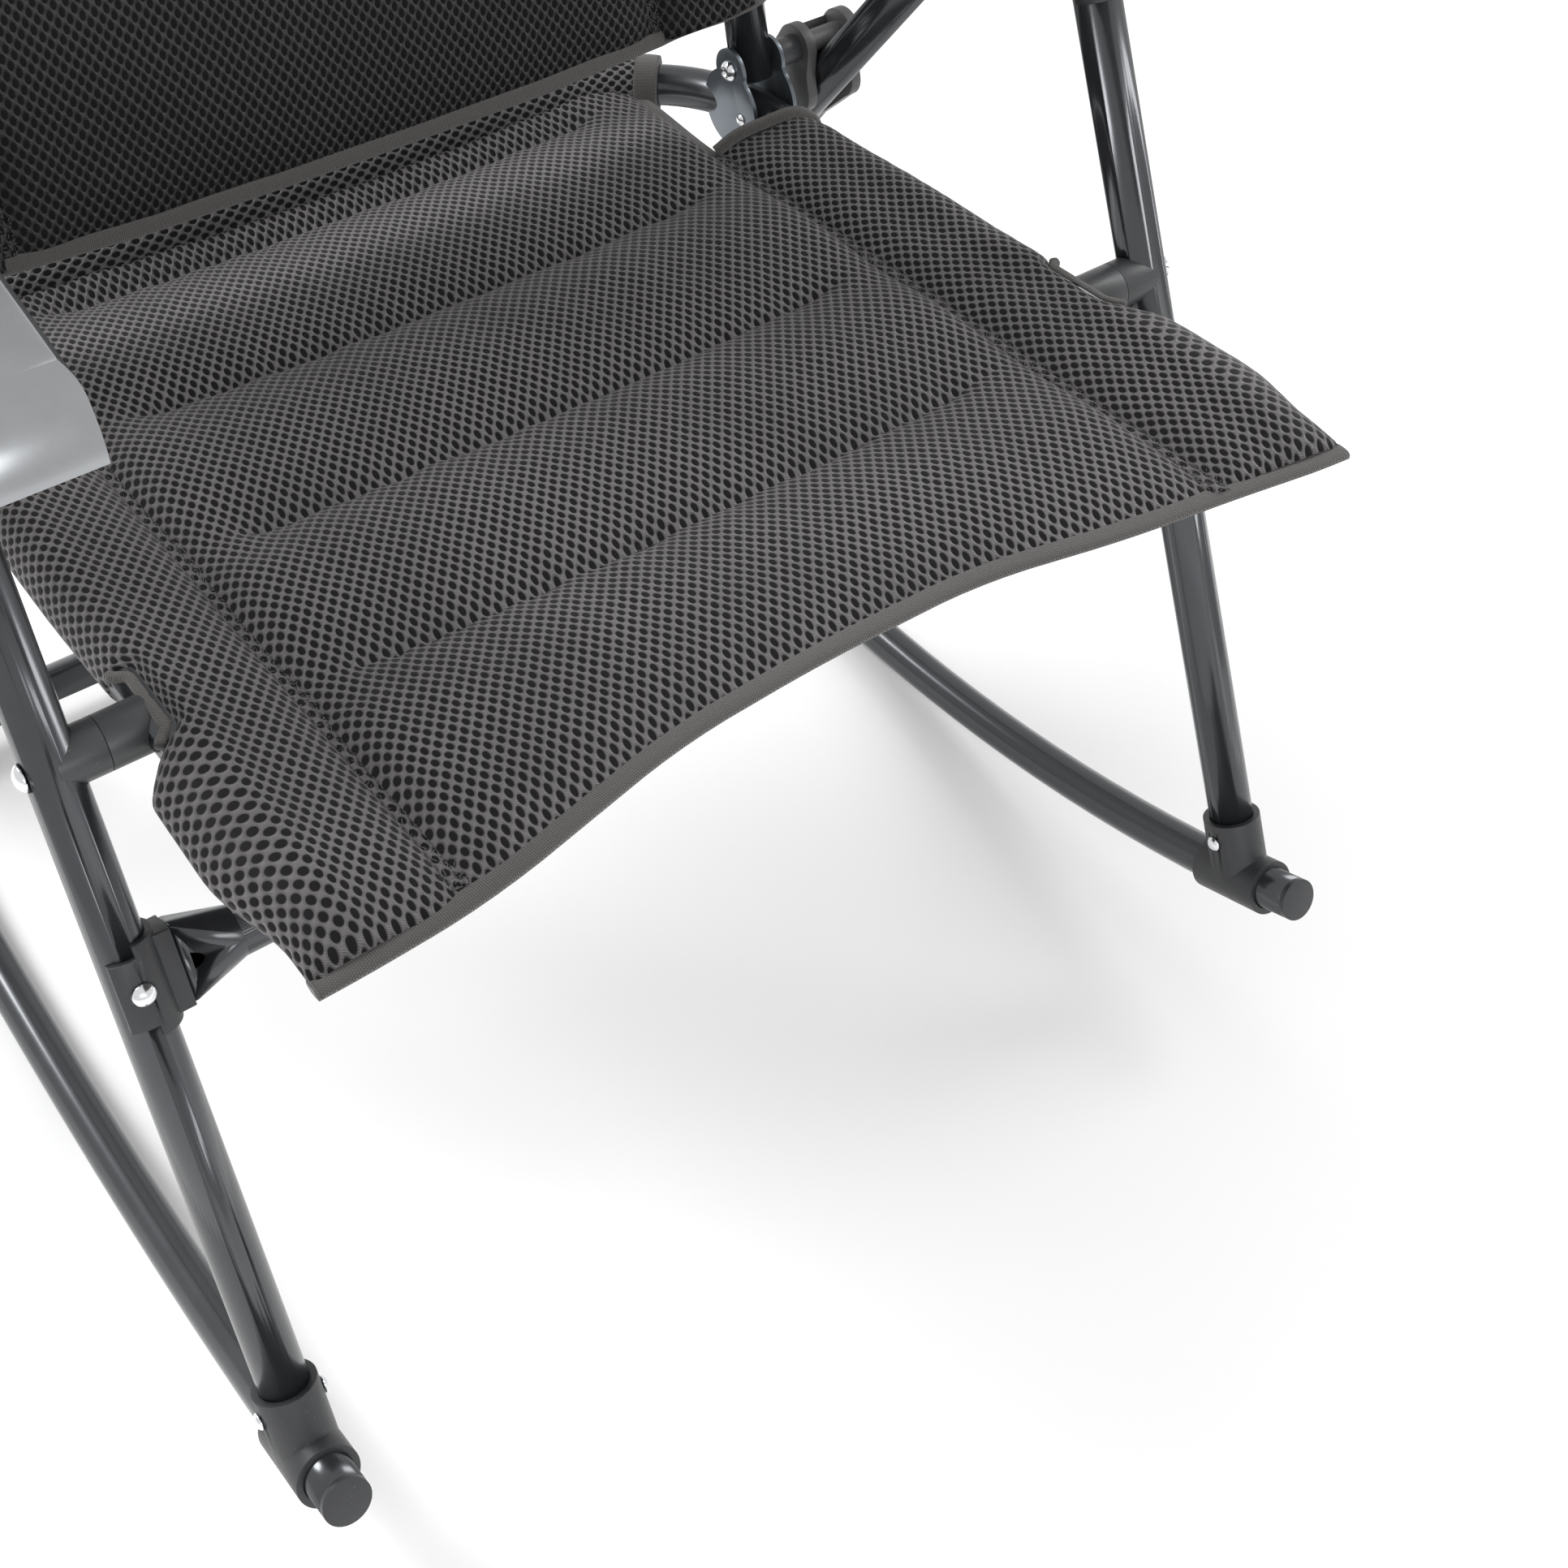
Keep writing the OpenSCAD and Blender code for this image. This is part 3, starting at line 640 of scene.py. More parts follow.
def loft(name: str, sections: np.ndarray, uvs: np.ndarray, finish: Finish,
         flip: bool = False) -> bpy.types.Object:
    """Closed skin through a row of closed sections, with a flat cap at each end.

    Args:
        name: the piece's name.
        sections: rows of points round each section, in metres.
        uvs: the same rows as pairs, in metres.
        finish: its finish.
        flip: whether the faces turn the other way.

    Returns:
        The new object.
    """
    rows, columns = sections.shape[:2]
    seam = np.concatenate([sections, sections[:, :1]], axis=1)
    step = np.linalg.norm(sections[:, 0] - sections[:, -1], axis=1)
    last = uvs[:, -1:].copy()
    last[:, 0, 0] += step
    flat = np.concatenate([uvs, last], axis=1)
    faces = strip_faces(rows, columns + 1, False, flip=flip)
    count = rows * (columns + 1)
    verts, pairs = [seam.reshape(-1, 3)], [flat.reshape(-1, 2)]
    for row, turn in ((0, not flip), (rows - 1, flip)):
        ring = sections[row]
        verts.append(np.vstack([ring, ring.mean(0)]))
        pairs.append(np.vstack([uvs[row], uvs[row].mean(0)]))
        for c in range(columns):
            face = [count + c, count + (c + 1) % columns, count + columns]
            faces.append(face if turn is False else face[::-1])
        count += columns + 1
    thing = build(name, np.vstack(verts), faces, finish, np.vstack(pairs))
    weld(thing)
    return thing


def weld(thing: bpy.types.Object) -> None:
    """Joins points that lie on each other and turns the faces outwards.

    Args:
        thing: the piece.
    """
    import bmesh

    work = bmesh.new()
    work.from_mesh(thing.data)
    bmesh.ops.remove_doubles(work, verts=work.verts, dist=2e-6)
    bmesh.ops.recalc_face_normals(work, faces=work.faces)
    work.to_mesh(thing.data)
    work.free()
    thing.data.update()


def pillow(name: str, place: Place, top: np.ndarray, bottom: np.ndarray, finish: Finish) -> bpy.types.Object:
    """Closed pad between a top grid and a bottom grid that share their rims.

    Args:
        name: the piece's name.
        place: the frame of the grids.
        top: grid of (x, s, n) in millimetres.
        bottom: the same for the lower side.
        finish: its finish.

    Returns:
        The new object.
    """
    rows, columns = top.shape[:2]
    verts = np.vstack([place.world(top).reshape(-1, 3), place.world(bottom).reshape(-1, 3)])
    flat = np.vstack([top[..., :2].reshape(-1, 2), bottom[..., :2].reshape(-1, 2)]) * MM
    faces = strip_faces(rows, columns, False)
    faces += strip_faces(rows, columns, False, start=rows * columns, flip=True)
    thing = build(name, verts, faces, finish, flat)
    weld(thing)
    return thing


def unit(v: np.ndarray) -> np.ndarray:
    """Scales vectors to length 1.

    Args:
        v: array of vectors.

    Returns:
        The unit vectors.
    """
    return v / np.maximum(np.linalg.norm(v, axis=-1, keepdims=True), 1e-9)


def sweep(name: str, path: np.ndarray, up: np.ndarray, outline: np.ndarray,
          finish: Finish) -> bpy.types.Object:
    """Sweeps an outline along a path.

    Args:
        name: the piece's name.
        path: its points, in metres.
        up: direction of the outline's second axis, one or one per point.
        outline: closed outline, in metres, as (side, up) pairs.
        finish: its finish.

    Returns:
        The new object.
    """
    tangent = unit(np.gradient(path, axis=0))
    up = np.broadcast_to(np.asarray(up, float), path.shape)
    side = unit(np.cross(tangent, up))
    lift = unit(np.cross(side, tangent))
    sections = (path[:, None] + outline[None, :, :1] * side[:, None] + outline[None, :, 1:] * lift[:, None])
    run = np.concatenate([[0], np.cumsum(np.linalg.norm(np.diff(path, axis=0), axis=1))])
    around = np.concatenate([[0], np.cumsum(np.linalg.norm(np.diff(outline, axis=0), axis=1))])
    uvs = np.stack(np.broadcast_arrays(around[None, :], run[:, None]), axis=-1)
    return loft(name, sections, uvs, finish)


def oval(a: float, b: float, count: int = 16, power: float = 2.0) -> np.ndarray:
    """Closed oval outline.

    Args:
        a: half width, in metres.
        b: half height, in metres.
        count: number of points.
        power: 2 for an ellipse, more for a squarer shape.

    Returns:
        The outline.
    """
    t = np.linspace(0, 2 * math.pi, count, endpoint=False)
    c, s = np.cos(t), np.sin(t)
    return np.stack([a * np.sign(c) * np.abs(c) ** (2 / power),
                     b * np.sign(s) * np.abs(s) ** (2 / power)], -1)


def curve_through(points: Sequence[Sequence[float]], count: int, closed: bool = False) -> np.ndarray:
    """Smooth curve through points.

    Args:
        points: the points.
        count: number of points in the result.
        closed: whether the curve closes on itself.

    Returns:
        The curve's points.
    """
    p = np.asarray(points, float)
    n = len(p)
    t = np.linspace(0, n if closed else n - 1, count, endpoint=not closed)
    i = np.minimum(t.astype(int), n - 1 if closed else n - 2)
    f = (t - i)[:, None]
    get = (lambda k: p[k % n]) if closed else (lambda k: p[np.clip(k, 0, n - 1)])
    a, b, c, d = get(i - 1), get(i), get(i + 1), get(i + 2)
    return 0.5 * (2 * b + (c - a) * f + (2 * a - 5 * b + 4 * c - d) * f ** 2
                  + (3 * b - a - 3 * c + d) * f ** 3)


def ripple(x: np.ndarray, y: np.ndarray, size: float, seed: int) -> np.ndarray:
    """Soft random waves between -1 and 1.

    Args:
        x: places across.
        y: places along, in the same unit.
        size: typical wave length.
        seed: fixes the waves.

    Returns:
        The wave heights.
    """
    rng = np.random.default_rng(seed)
    total = np.zeros(np.broadcast(x, y).shape)
    for _ in range(7):
        angle, phase = rng.uniform(0, math.pi), rng.uniform(0, 2 * math.pi)
        wave = size * rng.uniform(0.6, 1.6)
        total = total + np.sin(2 * math.pi * (x * math.cos(angle) + y * math.sin(angle)) / wave + phase)
    return total / 4.0


def fade(distance: np.ndarray, reach: float) -> np.ndarray:
    """Rises from 0 at distance 0 to 1 beyond a reach.

    Args:
        distance: distances.
        reach: where the rise is nearly done.

    Returns:
        Values from 0 to 1.
    """
    return 1 - np.exp(-np.maximum(distance, 0) * 2.2 / reach)


# ---------------------------------------------------------------- stitches


def stitch_tree() -> bpy.types.NodeTree:
    """Geometry Nodes: short thread stitches laid along a path, a little uneven.

    Returns:
        The tree. It reads a curve-like mesh of edges and its inputs are named in the interface.
    """
    tree = bpy.data.node_groups.new("stitches along a path", "GeometryNodeTree")
    face = tree.interface
    face.new_socket("Geometry", in_out="INPUT", socket_type="NodeSocketGeometry")
    for label, value in (("Pitch", 0.004), ("Length", 0.0028), ("Thickness", 0.0005), ("Wander", 0.2)):
        face.new_socket(label, in_out="INPUT", socket_type="NodeSocketFloat").default_value = value
    face.new_socket("Seed", in_out="INPUT", socket_type="NodeSocketInt").default_value = 3
    face.new_socket("Material", in_out="INPUT", socket_type="NodeSocketMaterial")
    face.new_socket("Geometry", in_out="OUTPUT", socket_type="NodeSocketGeometry")
    w = NodeWriter(tree)
    i, o = w.add("NodeGroupInput"), w.add("NodeGroupOutput")
    curve = w.add("GeometryNodeMeshToCurve")
    w.put(curve.inputs["Mesh"], i.outputs["Geometry"])
    points = w.add("GeometryNodeCurveToPoints", mode="LENGTH")
    w.put(points.inputs["Curve"], curve.outputs[0])
    w.put(points.inputs["Length"], i.outputs["Pitch"])
    body = w.add("GeometryNodeMeshUVSphere")
    body.inputs["Segments"].default_value = 6
    body.inputs["Rings"].default_value = 5
    body.inputs["Radius"].default_value = 0.5
    stretch = w.add("ShaderNodeCombineXYZ")
    w.put(stretch.inputs[0], i.outputs["Thickness"])
    w.put(stretch.inputs[1], i.outputs["Thickness"])
    w.put(stretch.inputs[2], i.outputs["Length"])
    shaped = w.add("GeometryNodeTransform")
    w.put(shaped.inputs["Geometry"], body.outputs["Mesh"])
    w.put(shaped.inputs["Scale"], stretch.outputs[0])
    turn = w.add("FunctionNodeRandomValue", data_type="FLOAT_VECTOR")
    low = w.add("ShaderNodeVectorMath", operation="SCALE")
    low.inputs[0].default_value = (-1.0, -1.0, -1.0)
    w.put(low.inputs["Scale"], i.outputs["Wander"])
    high = w.add("ShaderNodeVectorMath", operation="SCALE")
    high.inputs[0].default_value = (1.0, 1.0, 1.0)
    w.put(high.inputs["Scale"], i.outputs["Wander"])
    w.put(turn.inputs["Min"], low.outputs[0])
    w.put(turn.inputs["Max"], high.outputs[0])
    w.put(turn.inputs["Seed"], i.outputs["Seed"])
    laid = w.add("GeometryNodeInstanceOnPoints")
    w.put(laid.inputs["Points"], points.outputs["Points"])
    w.put(laid.inputs["Instance"], shaped.outputs[0])
    w.put(laid.inputs["Rotation"], points.outputs["Rotation"])
    wander = w.add("GeometryNodeRotateInstances")
    w.put(wander.inputs["Instances"], laid.outputs[0])
    w.put(wander.inputs["Rotation"], turn.outputs["Value"])
    real = w.add("GeometryNodeRealizeInstances")
    w.put(real.inputs[0], wander.outputs[0])
    paint = w.add("GeometryNodeSetMaterial")
    w.put(paint.inputs["Geometry"], real.outputs[0])
    w.put(paint.inputs["Material"], i.outputs["Material"])
    smooth = w.add("GeometryNodeSetShadeSmooth")
    w.put(smooth.inputs[0], paint.outputs[0])
    w.put(o.inputs[0], smooth.outputs[0])
    return tree


@dataclass
class Stitcher:
    """Lays rows of stitches with one shared tree."""

    tree: bpy.types.NodeTree = field(default_factory=stitch_tree)

    def lay(self, name: str, paths: Iterable[np.ndarray], finish: Finish, **sizes: float) -> bpy.types.Object:
        """Makes one mesh of stitches along several paths.

        Args:
            name: the piece's name.
            paths: point rows, in metres.
            finish: the thread's finish.
            sizes: the tree's inputs by name.

        Returns:
            A plain mesh.
        """
        verts, edges = [], []
        for path in paths:
            start = len(verts)
            verts += np.asarray(path, float).tolist()
            edges += [(k, k + 1) for k in range(start, len(verts) - 1)]
        line = bpy.data.meshes.new(name + " line")
        line.from_pydata(verts, edges, [])
        thing = bpy.data.objects.new(name, line)
        bpy.context.scene.collection.objects.link(thing)
        modifier = thing.modifiers.new("stitches", "NODES")
        modifier.node_group = self.tree
        values = {"Material": finish.make(), **sizes}
        for item in self.tree.interface.items_tree:
            if item.in_out == "INPUT" and item.name in values:
                modifier[item.identifier] = values[item.name]
        bpy.context.view_layer.update()
        made = bpy.data.meshes.new_from_object(
            thing.evaluated_get(bpy.context.evaluated_depsgraph_get()))
        thing.modifiers.clear()
        thing.data = made
        made.name = name
        return thing


# ---------------------------------------------------------------- the chair


def hinge_point(joints: Sequence[dict]) -> Vector:
    """Finds the point between the two hinge bolts.

    Args:
        joints: the record's joints.

    Returns:
        The point, in metres.
    """
    return Vector(next(j["pos_m"] for j in joints if j["name"] == "back_hinge"))


@dataclass(frozen=True)
class Layout:
    """Sizes of the covers in millimetres and the frames that they are drawn in.

    Args:
        seat: frame of the seat, its zero under the hinge on the tubes' axis.
        back: frame of the back, its zero on the hinge.
    """

    seat: Place
    back: Place
    side_x: float = 260.0
    seat_half: float = 208.0
    back_half: float = 198.0
    seat_rear: float = 80.0
    seat_bend: float = 88.0
    seat_bend_at: float = -8.0
    bush_at: float = -278.6
    back_top: float = 740.0
    back_bend: float = 75.0
    stud_at: float = 250.0

    @classmethod
    def read(cls, joints: Sequence[dict]) -> "Layout":
        """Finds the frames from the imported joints.

        Args:
            joints: the record's joints.

        Returns:
            The layout.
        """
        hinge = hinge_point(joints)
        slope, rise = math.radians(SEAT_SLOPE), HINGE_RISE * MM
        under = hinge - Vector((0, rise * math.sin(slope), rise * math.cos(slope)))
        return cls(tilted(under, -SEAT_SLOPE, "y"), tilted(hinge, -BACK_LEAN, "z"))


def quilt(s: np.ndarray, stops: Sequence[np.ndarray | float], power: float = 0.52) -> np.ndarray:
    """Padding height between sewn channels, 0 on a channel and 1 between two.

    Args:
        s: places along the cloth.
        stops: the channels in rising order, each a number or an array like s.
        power: below 1 for full pads with narrow channels.

    Returns:
        The heights.
    """
    out = np.zeros_like(s)
    for low, high in zip(stops[:-1], stops[1:]):
        t = (s - low) / (high - low)
        inside = (t >= 0) & (t <= 1)
        out = np.where(inside, np.sin(np.clip(t, 0, 1) * math.pi) ** power, out)
    return out


def smooth(x: np.ndarray, low: float, high: float) -> np.ndarray:
    """Smooth step.

    Args:
        x: values.
        low: where it starts.
        high: where it ends.

    Returns:
        Values from 0 to 1.
    """
    t = np.clip((x - low) / (high - low), 0, 1)
    return t * t * (3 - 2 * t)


@dataclass
class Cover:
    """One padded cover: a quilted middle panel, a sleeve each side, a roll at the end and its tapes.

    Args:
        layout: the chair's sizes.
        stitcher: lays the stitches.
        made: the pieces, filled in by build().
    """

    layout: Layout
    stitcher: Stitcher
    made: list[bpy.types.Object] = field(default_factory=list)

    body: Body = Body.SEAT
    slot: Slot = Slot.SEAT
    prefix: str = "seat"

    @property
    def place(self) -> Place:
        """Frame that the cover is drawn in."""
        return self.layout.seat

    @property
    def cloth(self) -> Finish:
        """Finish of the mesh."""
        return FINISHES.seat

    @property
    def tape(self) -> Finish:
        """Finish of the tapes."""
        return FINISHES.tape

    def keep(self, thing: bpy.types.Object, *nodes: str, padded: float | None = None) -> bpy.types.Object:
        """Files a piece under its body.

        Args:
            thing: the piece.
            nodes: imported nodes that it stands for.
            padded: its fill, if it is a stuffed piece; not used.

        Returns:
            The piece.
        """
        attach(thing, self.body.value)
        if nodes:
            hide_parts(*nodes)
        self.made.append(thing)
        return thing

    def tape_along(self, name: str, points: np.ndarray, half_width: float, half_height: float,
                   power: float = 2.6) -> bpy.types.Object:
        """Sews a tape along a path.

        Args:
            name: the piece's name.
            points: path as (x, s, n) in millimetres.
            half_width: half of the tape's width across the path, in millimetres.
            half_height: half of its height off the cloth.
            power: squareness of its section.

        Returns:
            The tape.
        """
        outline = oval(half_width * MM, half_height * MM, 20, power)
        return self.keep(sweep(name, self.place.world(points), self.place.normal, outline, self.tape))

    def ring(self, name: str, start: Sequence[float], end: Sequence[float],
             radius: float) -> bpy.types.Object:
        """Bound end of a sleeve round a tube.

        Args:
            name: the piece's name.
            start: one end on the tube's axis, as (x, s, n).
            end: the other end.
            radius: outer radius, in millimetres.

        Returns:
            The ring.
        """
        t = np.linspace(0, 1, 9)[:, None]
        path = self.place.world((1 - t) * np.array(start) + t * np.array(end))
        swell = 1 + 0.035 * np.sin(t[:, 0] * math.pi)
        tangent = unit(np.gradient(path, axis=0))
        side = unit(np.cross(tangent, np.broadcast_to(self.place.normal, path.shape)))
        lift = unit(np.cross(side, tangent))
        angle = np.linspace(0, 2 * math.pi, 40, endpoint=False)
        reach = radius * MM * swell
        sections = (path[:, None] + reach[:, None, None] * (
            np.cos(angle)[None, :, None] * side[:, None] + np.sin(angle)[None, :, None] * lift[:, None]))
        run = np.linspace(0, 1, 9) * np.linalg.norm(path[-1] - path[0])
        uvs = np.stack(np.broadcast_arrays(run[:, None], (angle * radius * MM)[None, :]), axis=-1)
        return self.keep(loft(name, sections, uvs, self.tape))

    def sleeve(self, name: str, side: int, inner: float, front: Callable, rear: Callable,
               outer: Callable, squeeze: Callable, nodes: Sequence[str], rows: int = 120) -> bpy.types.Object:
        """Padded sleeve from the seam, over a side tube and back under it.

        Args:
            name: the piece's name.
            side: 1 for the +X side, -1 for the other.
            inner: x of the seam.
            front: s of the sleeve's start, from x.
            rear: s of its end, from x.
            outer: x of its outer edge, from s.
            squeeze: share of its full thickness, from t.
            nodes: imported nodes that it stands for.
            rows: number of sections.

        Returns:
            The sleeve.
        """
        section = curve_through([
            (inner + 1, -2.6), (inner + 6, 3.2), (inner + 17, 8.8), (inner + 33, 12.6), (256, 16.4),
            (267, 12.8), (274, 0.5), (267, -12.8), (256, -16.2), (inner + 33, -12.5), (inner + 16, -8.6),
            (inner + 5, -5.4)], 56, closed=True)
        t = np.linspace(0, 1, rows)[:, None]
        x0, n0 = section[None, :, 0], section[None, :, 1]
        s = front(x0) + (rear(x0) - front(x0)) * t
        out = outer(s)
        x = np.where(x0 > 256, 256 + (x0 - 256) * (out - 256) / 18.0, x0)
        wave = ripple(x, s, 60, 11 + side) * 0.5 + ripple(x, s, 22, 17 + side) * 0.22
        bulk = np.clip((x - inner) / 14, 0, 1)
        thick = squeeze(t)
        n = -3 + (n0 + 3) * thick + wave * bulk * np.sign(n0 + 3) * np.minimum(thick, 1)
        points = np.stack([side * x, s, n], axis=-1)
        girth = np.linalg.norm(np.diff(np.concatenate([section, section[:1]]), axis=0), axis=1)
        around = np.concatenate([[0], np.cumsum(girth)])[:-1]
        uvs = np.stack(np.broadcast_arrays(side * (inner + around[None, :]), s), axis=-1) * MM
        return self.keep(loft(name, self.place.world(points), uvs, self.cloth), *nodes, padded=0.6)

    def roll(self, name: str, path: np.ndarray, radius: float, nodes: Sequence[str]) -> bpy.types.Object:
        """Sleeve round a bent tube.

        Args:
            name: the piece's name.
            path: the tube's axis as (x, s, n).
            radius: radius of the roll, in millimetres.
            nodes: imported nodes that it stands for.

        Returns:
            The roll.
        """
        points = self.place.world(path)
        outline = oval(radius * MM, radius * MM, 40)
        return self.keep(sweep(name, points, self.place.normal, outline, self.cloth), *nodes, padded=0.5)

    def seam(self, name: str, side: int, x: float, start: float, end: float, level: float = -1.6) -> None:
        """Flat sewn seam between the panel and a sleeve, with its two stitch rows and loose yarn.

        Args:
            name: start of the pieces' names.
            side: 1 for the +X side, -1 for the other.
            x: its middle.
            start: s of its start.
            end: s of its end.
            level: its height on the cloth.
        """
        s = np.linspace(start, end, 160)
        wave = ripple(s, 0 * s, 36, 5) * 0.5
        path = np.stack([side * x + wave, s, level + 0.35 * ripple(s, 0 * s, 15, 8)], -1)
        outline = oval(5.2 * MM, 1.9 * MM, 18, 2.4)
        self.keep(sweep(name, self.place.world(path), self.place.normal, outline, self.cloth))
        rows = [self.place.world(path + np.array([shift, 0, 1.9])) for shift in (-2.6, 2.6)]
        self.keep(self.stitcher.lay(name + "_stitches", rows, FINISHES.thread, Pitch=0.0034, Length=0.0026,
                                    Thickness=0.0007, Wander=0.18, Seed=4 + side))
        rng = np.random.default_rng(20 + side)
        loose = [self.place.world(path + np.array([k, 0, 2.1]) + rng.normal(0, 0.5, path.shape) * [1, 1, 0.4])
                 for k in (-4.2, -1.2, 1.6, 4.4)]
        self.keep(self.stitcher.lay(name + "_yarn", loose, FINISHES.yarn, Pitch=0.0023, Length=0.0034,
                                    Thickness=0.00026, Wander=1.2, Seed=9 + side))


@dataclass
class SeatCover(Cover):
    """Cover of the seat."""

    channels: tuple[float, ...] = (-301.8, -188.2, -69.6, 47.0)

    def front(self, x: np.ndarray) -> np.ndarray:
        """s of the front edge at x."""
        xs = [-280, -240, -198, -91, -13, 79, 161, 203, 240, 280]
        ss = [-447.5, -446, -442.5, -416.4, -411, -411.4, -429.5, -434.5, -441, -447.5]
        return np.interp(x, xs, ss)

    def edge(self, x: np.ndarray) -> np.ndarray:
        """Front edge, softened so that it has no corners."""
        return sum(self.front(x + d) for d in (-24, -12, 0, 12, 24)) / 5

    def half(self, s: np.ndarray) -> np.ndarray:
        """Half width of the panel at s."""
        return self.layout.seat_half + 6 * smooth(s, -36, 60)

    def sag(self, x: np.ndarray, s: np.ndarray) -> np.ndarray:
        """How far the cloth hangs between the tubes."""
        return 6 * (1 - (x / 215) ** 2) * smooth(s, -430, -300)

    def build(self) -> None:
        """Makes the whole cover."""
        self.panel()
        for side, label in ((1, "left"), (-1, "right")):
            self.side(side, label)
        self.rear()
        x = np.linspace(-279.0, 279.0, 240)
        path = np.stack([x, self.edge(x) - 1.0, -3.2 - 0.0 * x], -1)
        self.tape_along("seat_front_tape", path, 5.4, 2.7)

    def panel(self) -> None:
        """Quilted middle panel with the stitches of its channels."""
        u, t = np.meshgrid(np.linspace(-1, 1, 149), np.linspace(0, 1, 165))
        first = self.edge(u * self.layout.seat_half)
        s = first + (77 - first) * t
        x = u * self.half(s)
        pads = quilt(s, (first - 2, *self.channels, 150.0))
        near = np.min([np.abs(s - c) for c in self.channels], axis=0)
        flat = smooth(np.abs(x), 158, 190)
        pads = pads + (0.66 - pads) * flat * 0.8 * (pads < 0.66)
        rim = fade(self.half(s) - np.abs(x), 15) * fade(s - first, 16)
        pucker = np.exp(-(near / 15) ** 2) * (1 - flat * 0.5)
        waves = (0.8 * pucker * ripple(x, s * 0.25, 19, 2) + 0.45 * ripple(x, s, 44, 3)
                 + 0.2 * ripple(x, s, 17, 4))
        sag = self.sag(x, s)
        top = -3 - sag + (14.5 * pads + waves) * rim
        low = -4.5 - sag - (7.5 * pads + 0.6 * waves) * rim
        rim_line = (np.abs(u) > 0.9999) | (t < 1e-6) | (t > 1 - 1e-6)
        low = np.where(rim_line, top, low)
        top_grid, low_grid = np.stack([x, s, top], -1), np.stack([x, s, low], -1)
        self.keep(pillow("seat_panel", self.place, top_grid, low_grid, self.cloth), "seat_pad", padded=0.7)
        rows = []
        for c in self.channels[:3]:
            line = np.linspace(-168, 168, 120)
            line_s = c + 1.2 * ripple(line, 0 * line, 70, int(abs(c)))
            rows.append(self.place.world(np.stack([line, line_s, -2.2 - self.sag(line, line_s)], -1)))
        self.keep(self.stitcher.lay("seat_channel_stitches", rows, FINISHES.thread, Pitch=0.0042,
                                    Length=0.0034, Thickness=0.0008, Wander=0.12, Seed=2))

    def side(self, side: int, label: str) -> None:
        """One side sleeve with its seam and end tapes."""
        at = self.layout.bush_at

        def outer(s: np.ndarray) -> np.ndarray:
            swell = 14 * smooth(-s, 300, 330) * (1 - smooth(-s, 375, 430) * 0.7)
            notch = smooth(25 - np.abs(s - at), -5, 4)
            return (274.5 + 1.0 * np.sin(s / 37) + swell) * (1 - notch) + 265.0 * notch

        def squeeze(t: np.ndarray) -> np.ndarray:
            """Share of the sleeve's full thickness from front 0 to rear 1: flat at the sewn front edge."""
            front = 1 - (1 - np.clip(t / 0.13, 0, 1)) ** 2
            return (0.2 + 0.8 * np.sqrt(np.clip(front, 0, 1))) * (1 - 0.18 * smooth(t, 0.93, 1.0))

        self.sleeve("seat_sleeve_" + label, side, self.layout.seat_half,
                    front=lambda x: self.edge(side * x), rear=lambda x: -35 - 12.5 * (x - 208) / 60,
                    outer=outer, squeeze=squeeze, nodes=["seat_sleeve_" + label])
        self.seam("seat_seam_" + label, side, self.layout.seat_half + 0.6, -438, -38)
        spots = [(208.5, -35.5, 2.0), (222, -38, 9.4), (240, -42, 13.6), (257, -45.5, 15.6),
                 (268, -47.5, 10.0), (272.6, -48.2, 0), (267, -47.4, -10.5), (256, -45.2, -15.4),
                 (238, -41.5, -12.5), (221, -38, -8.4)]
        loop = curve_through([(side * a, b, c) for a, b, c in spots], 70)
        self.tape_along(f"seat_notch_tape_{label}", loop, 3.4, 3.4)
        s = np.linspace(at - 27, at + 27, 24)
        bow = np.stack([side * (265.5 + 7 * (1 - smooth(27 - np.abs(s - at), 0, 9))), s,
                        9.2 + 1.8 * smooth(27 - np.abs(s - at), 0, 9)], -1)
        self.tape_along(f"seat_bush_tape_{label}", bow, 2.6, 2.2)
        s = np.linspace(-36, 62, 40)
        edge = np.stack([side * (self.half(s) + 0.4), s, -3.4 + 0 * s], -1)
        self.tape_along(f"seat_panel_tape_{label}", edge, 4.2, 2.6)

    def rear(self) -> None:
        """Roll round the rear of the seat tube with a bound ring at each end."""
        lay = self.layout
        straight = lay.side_x - lay.seat_bend
        turn = np.radians(np.linspace(48, 90, 18))
        arc = np.stack([straight + lay.seat_bend * np.cos(turn),
                        lay.seat_bend_at + lay.seat_bend * np.sin(turn)], -1)
        bar = np.stack([np.linspace(straight - 4, 4 - straight, 80), np.full(80, lay.seat_rear)], -1)
        back = arc[::-1] * [-1, 1]
        flat = np.vstack([arc, bar, back])
        path = np.column_stack([flat, np.zeros(len(flat))])
        self.roll("seat_rear_roll", path, 16.2, ["seat_rear_sleeve"])
        for side, label in ((1, "left"), (-1, "right")):
            start = np.array([side * arc[0, 0], arc[0, 1], 0])
            along = unit(np.array([side * -math.sin(turn[0]), math.cos(turn[0]), 0]))
            self.ring(f"seat_ring_{label}", start - along * 1.5, start + along * 12.5, 17.6)


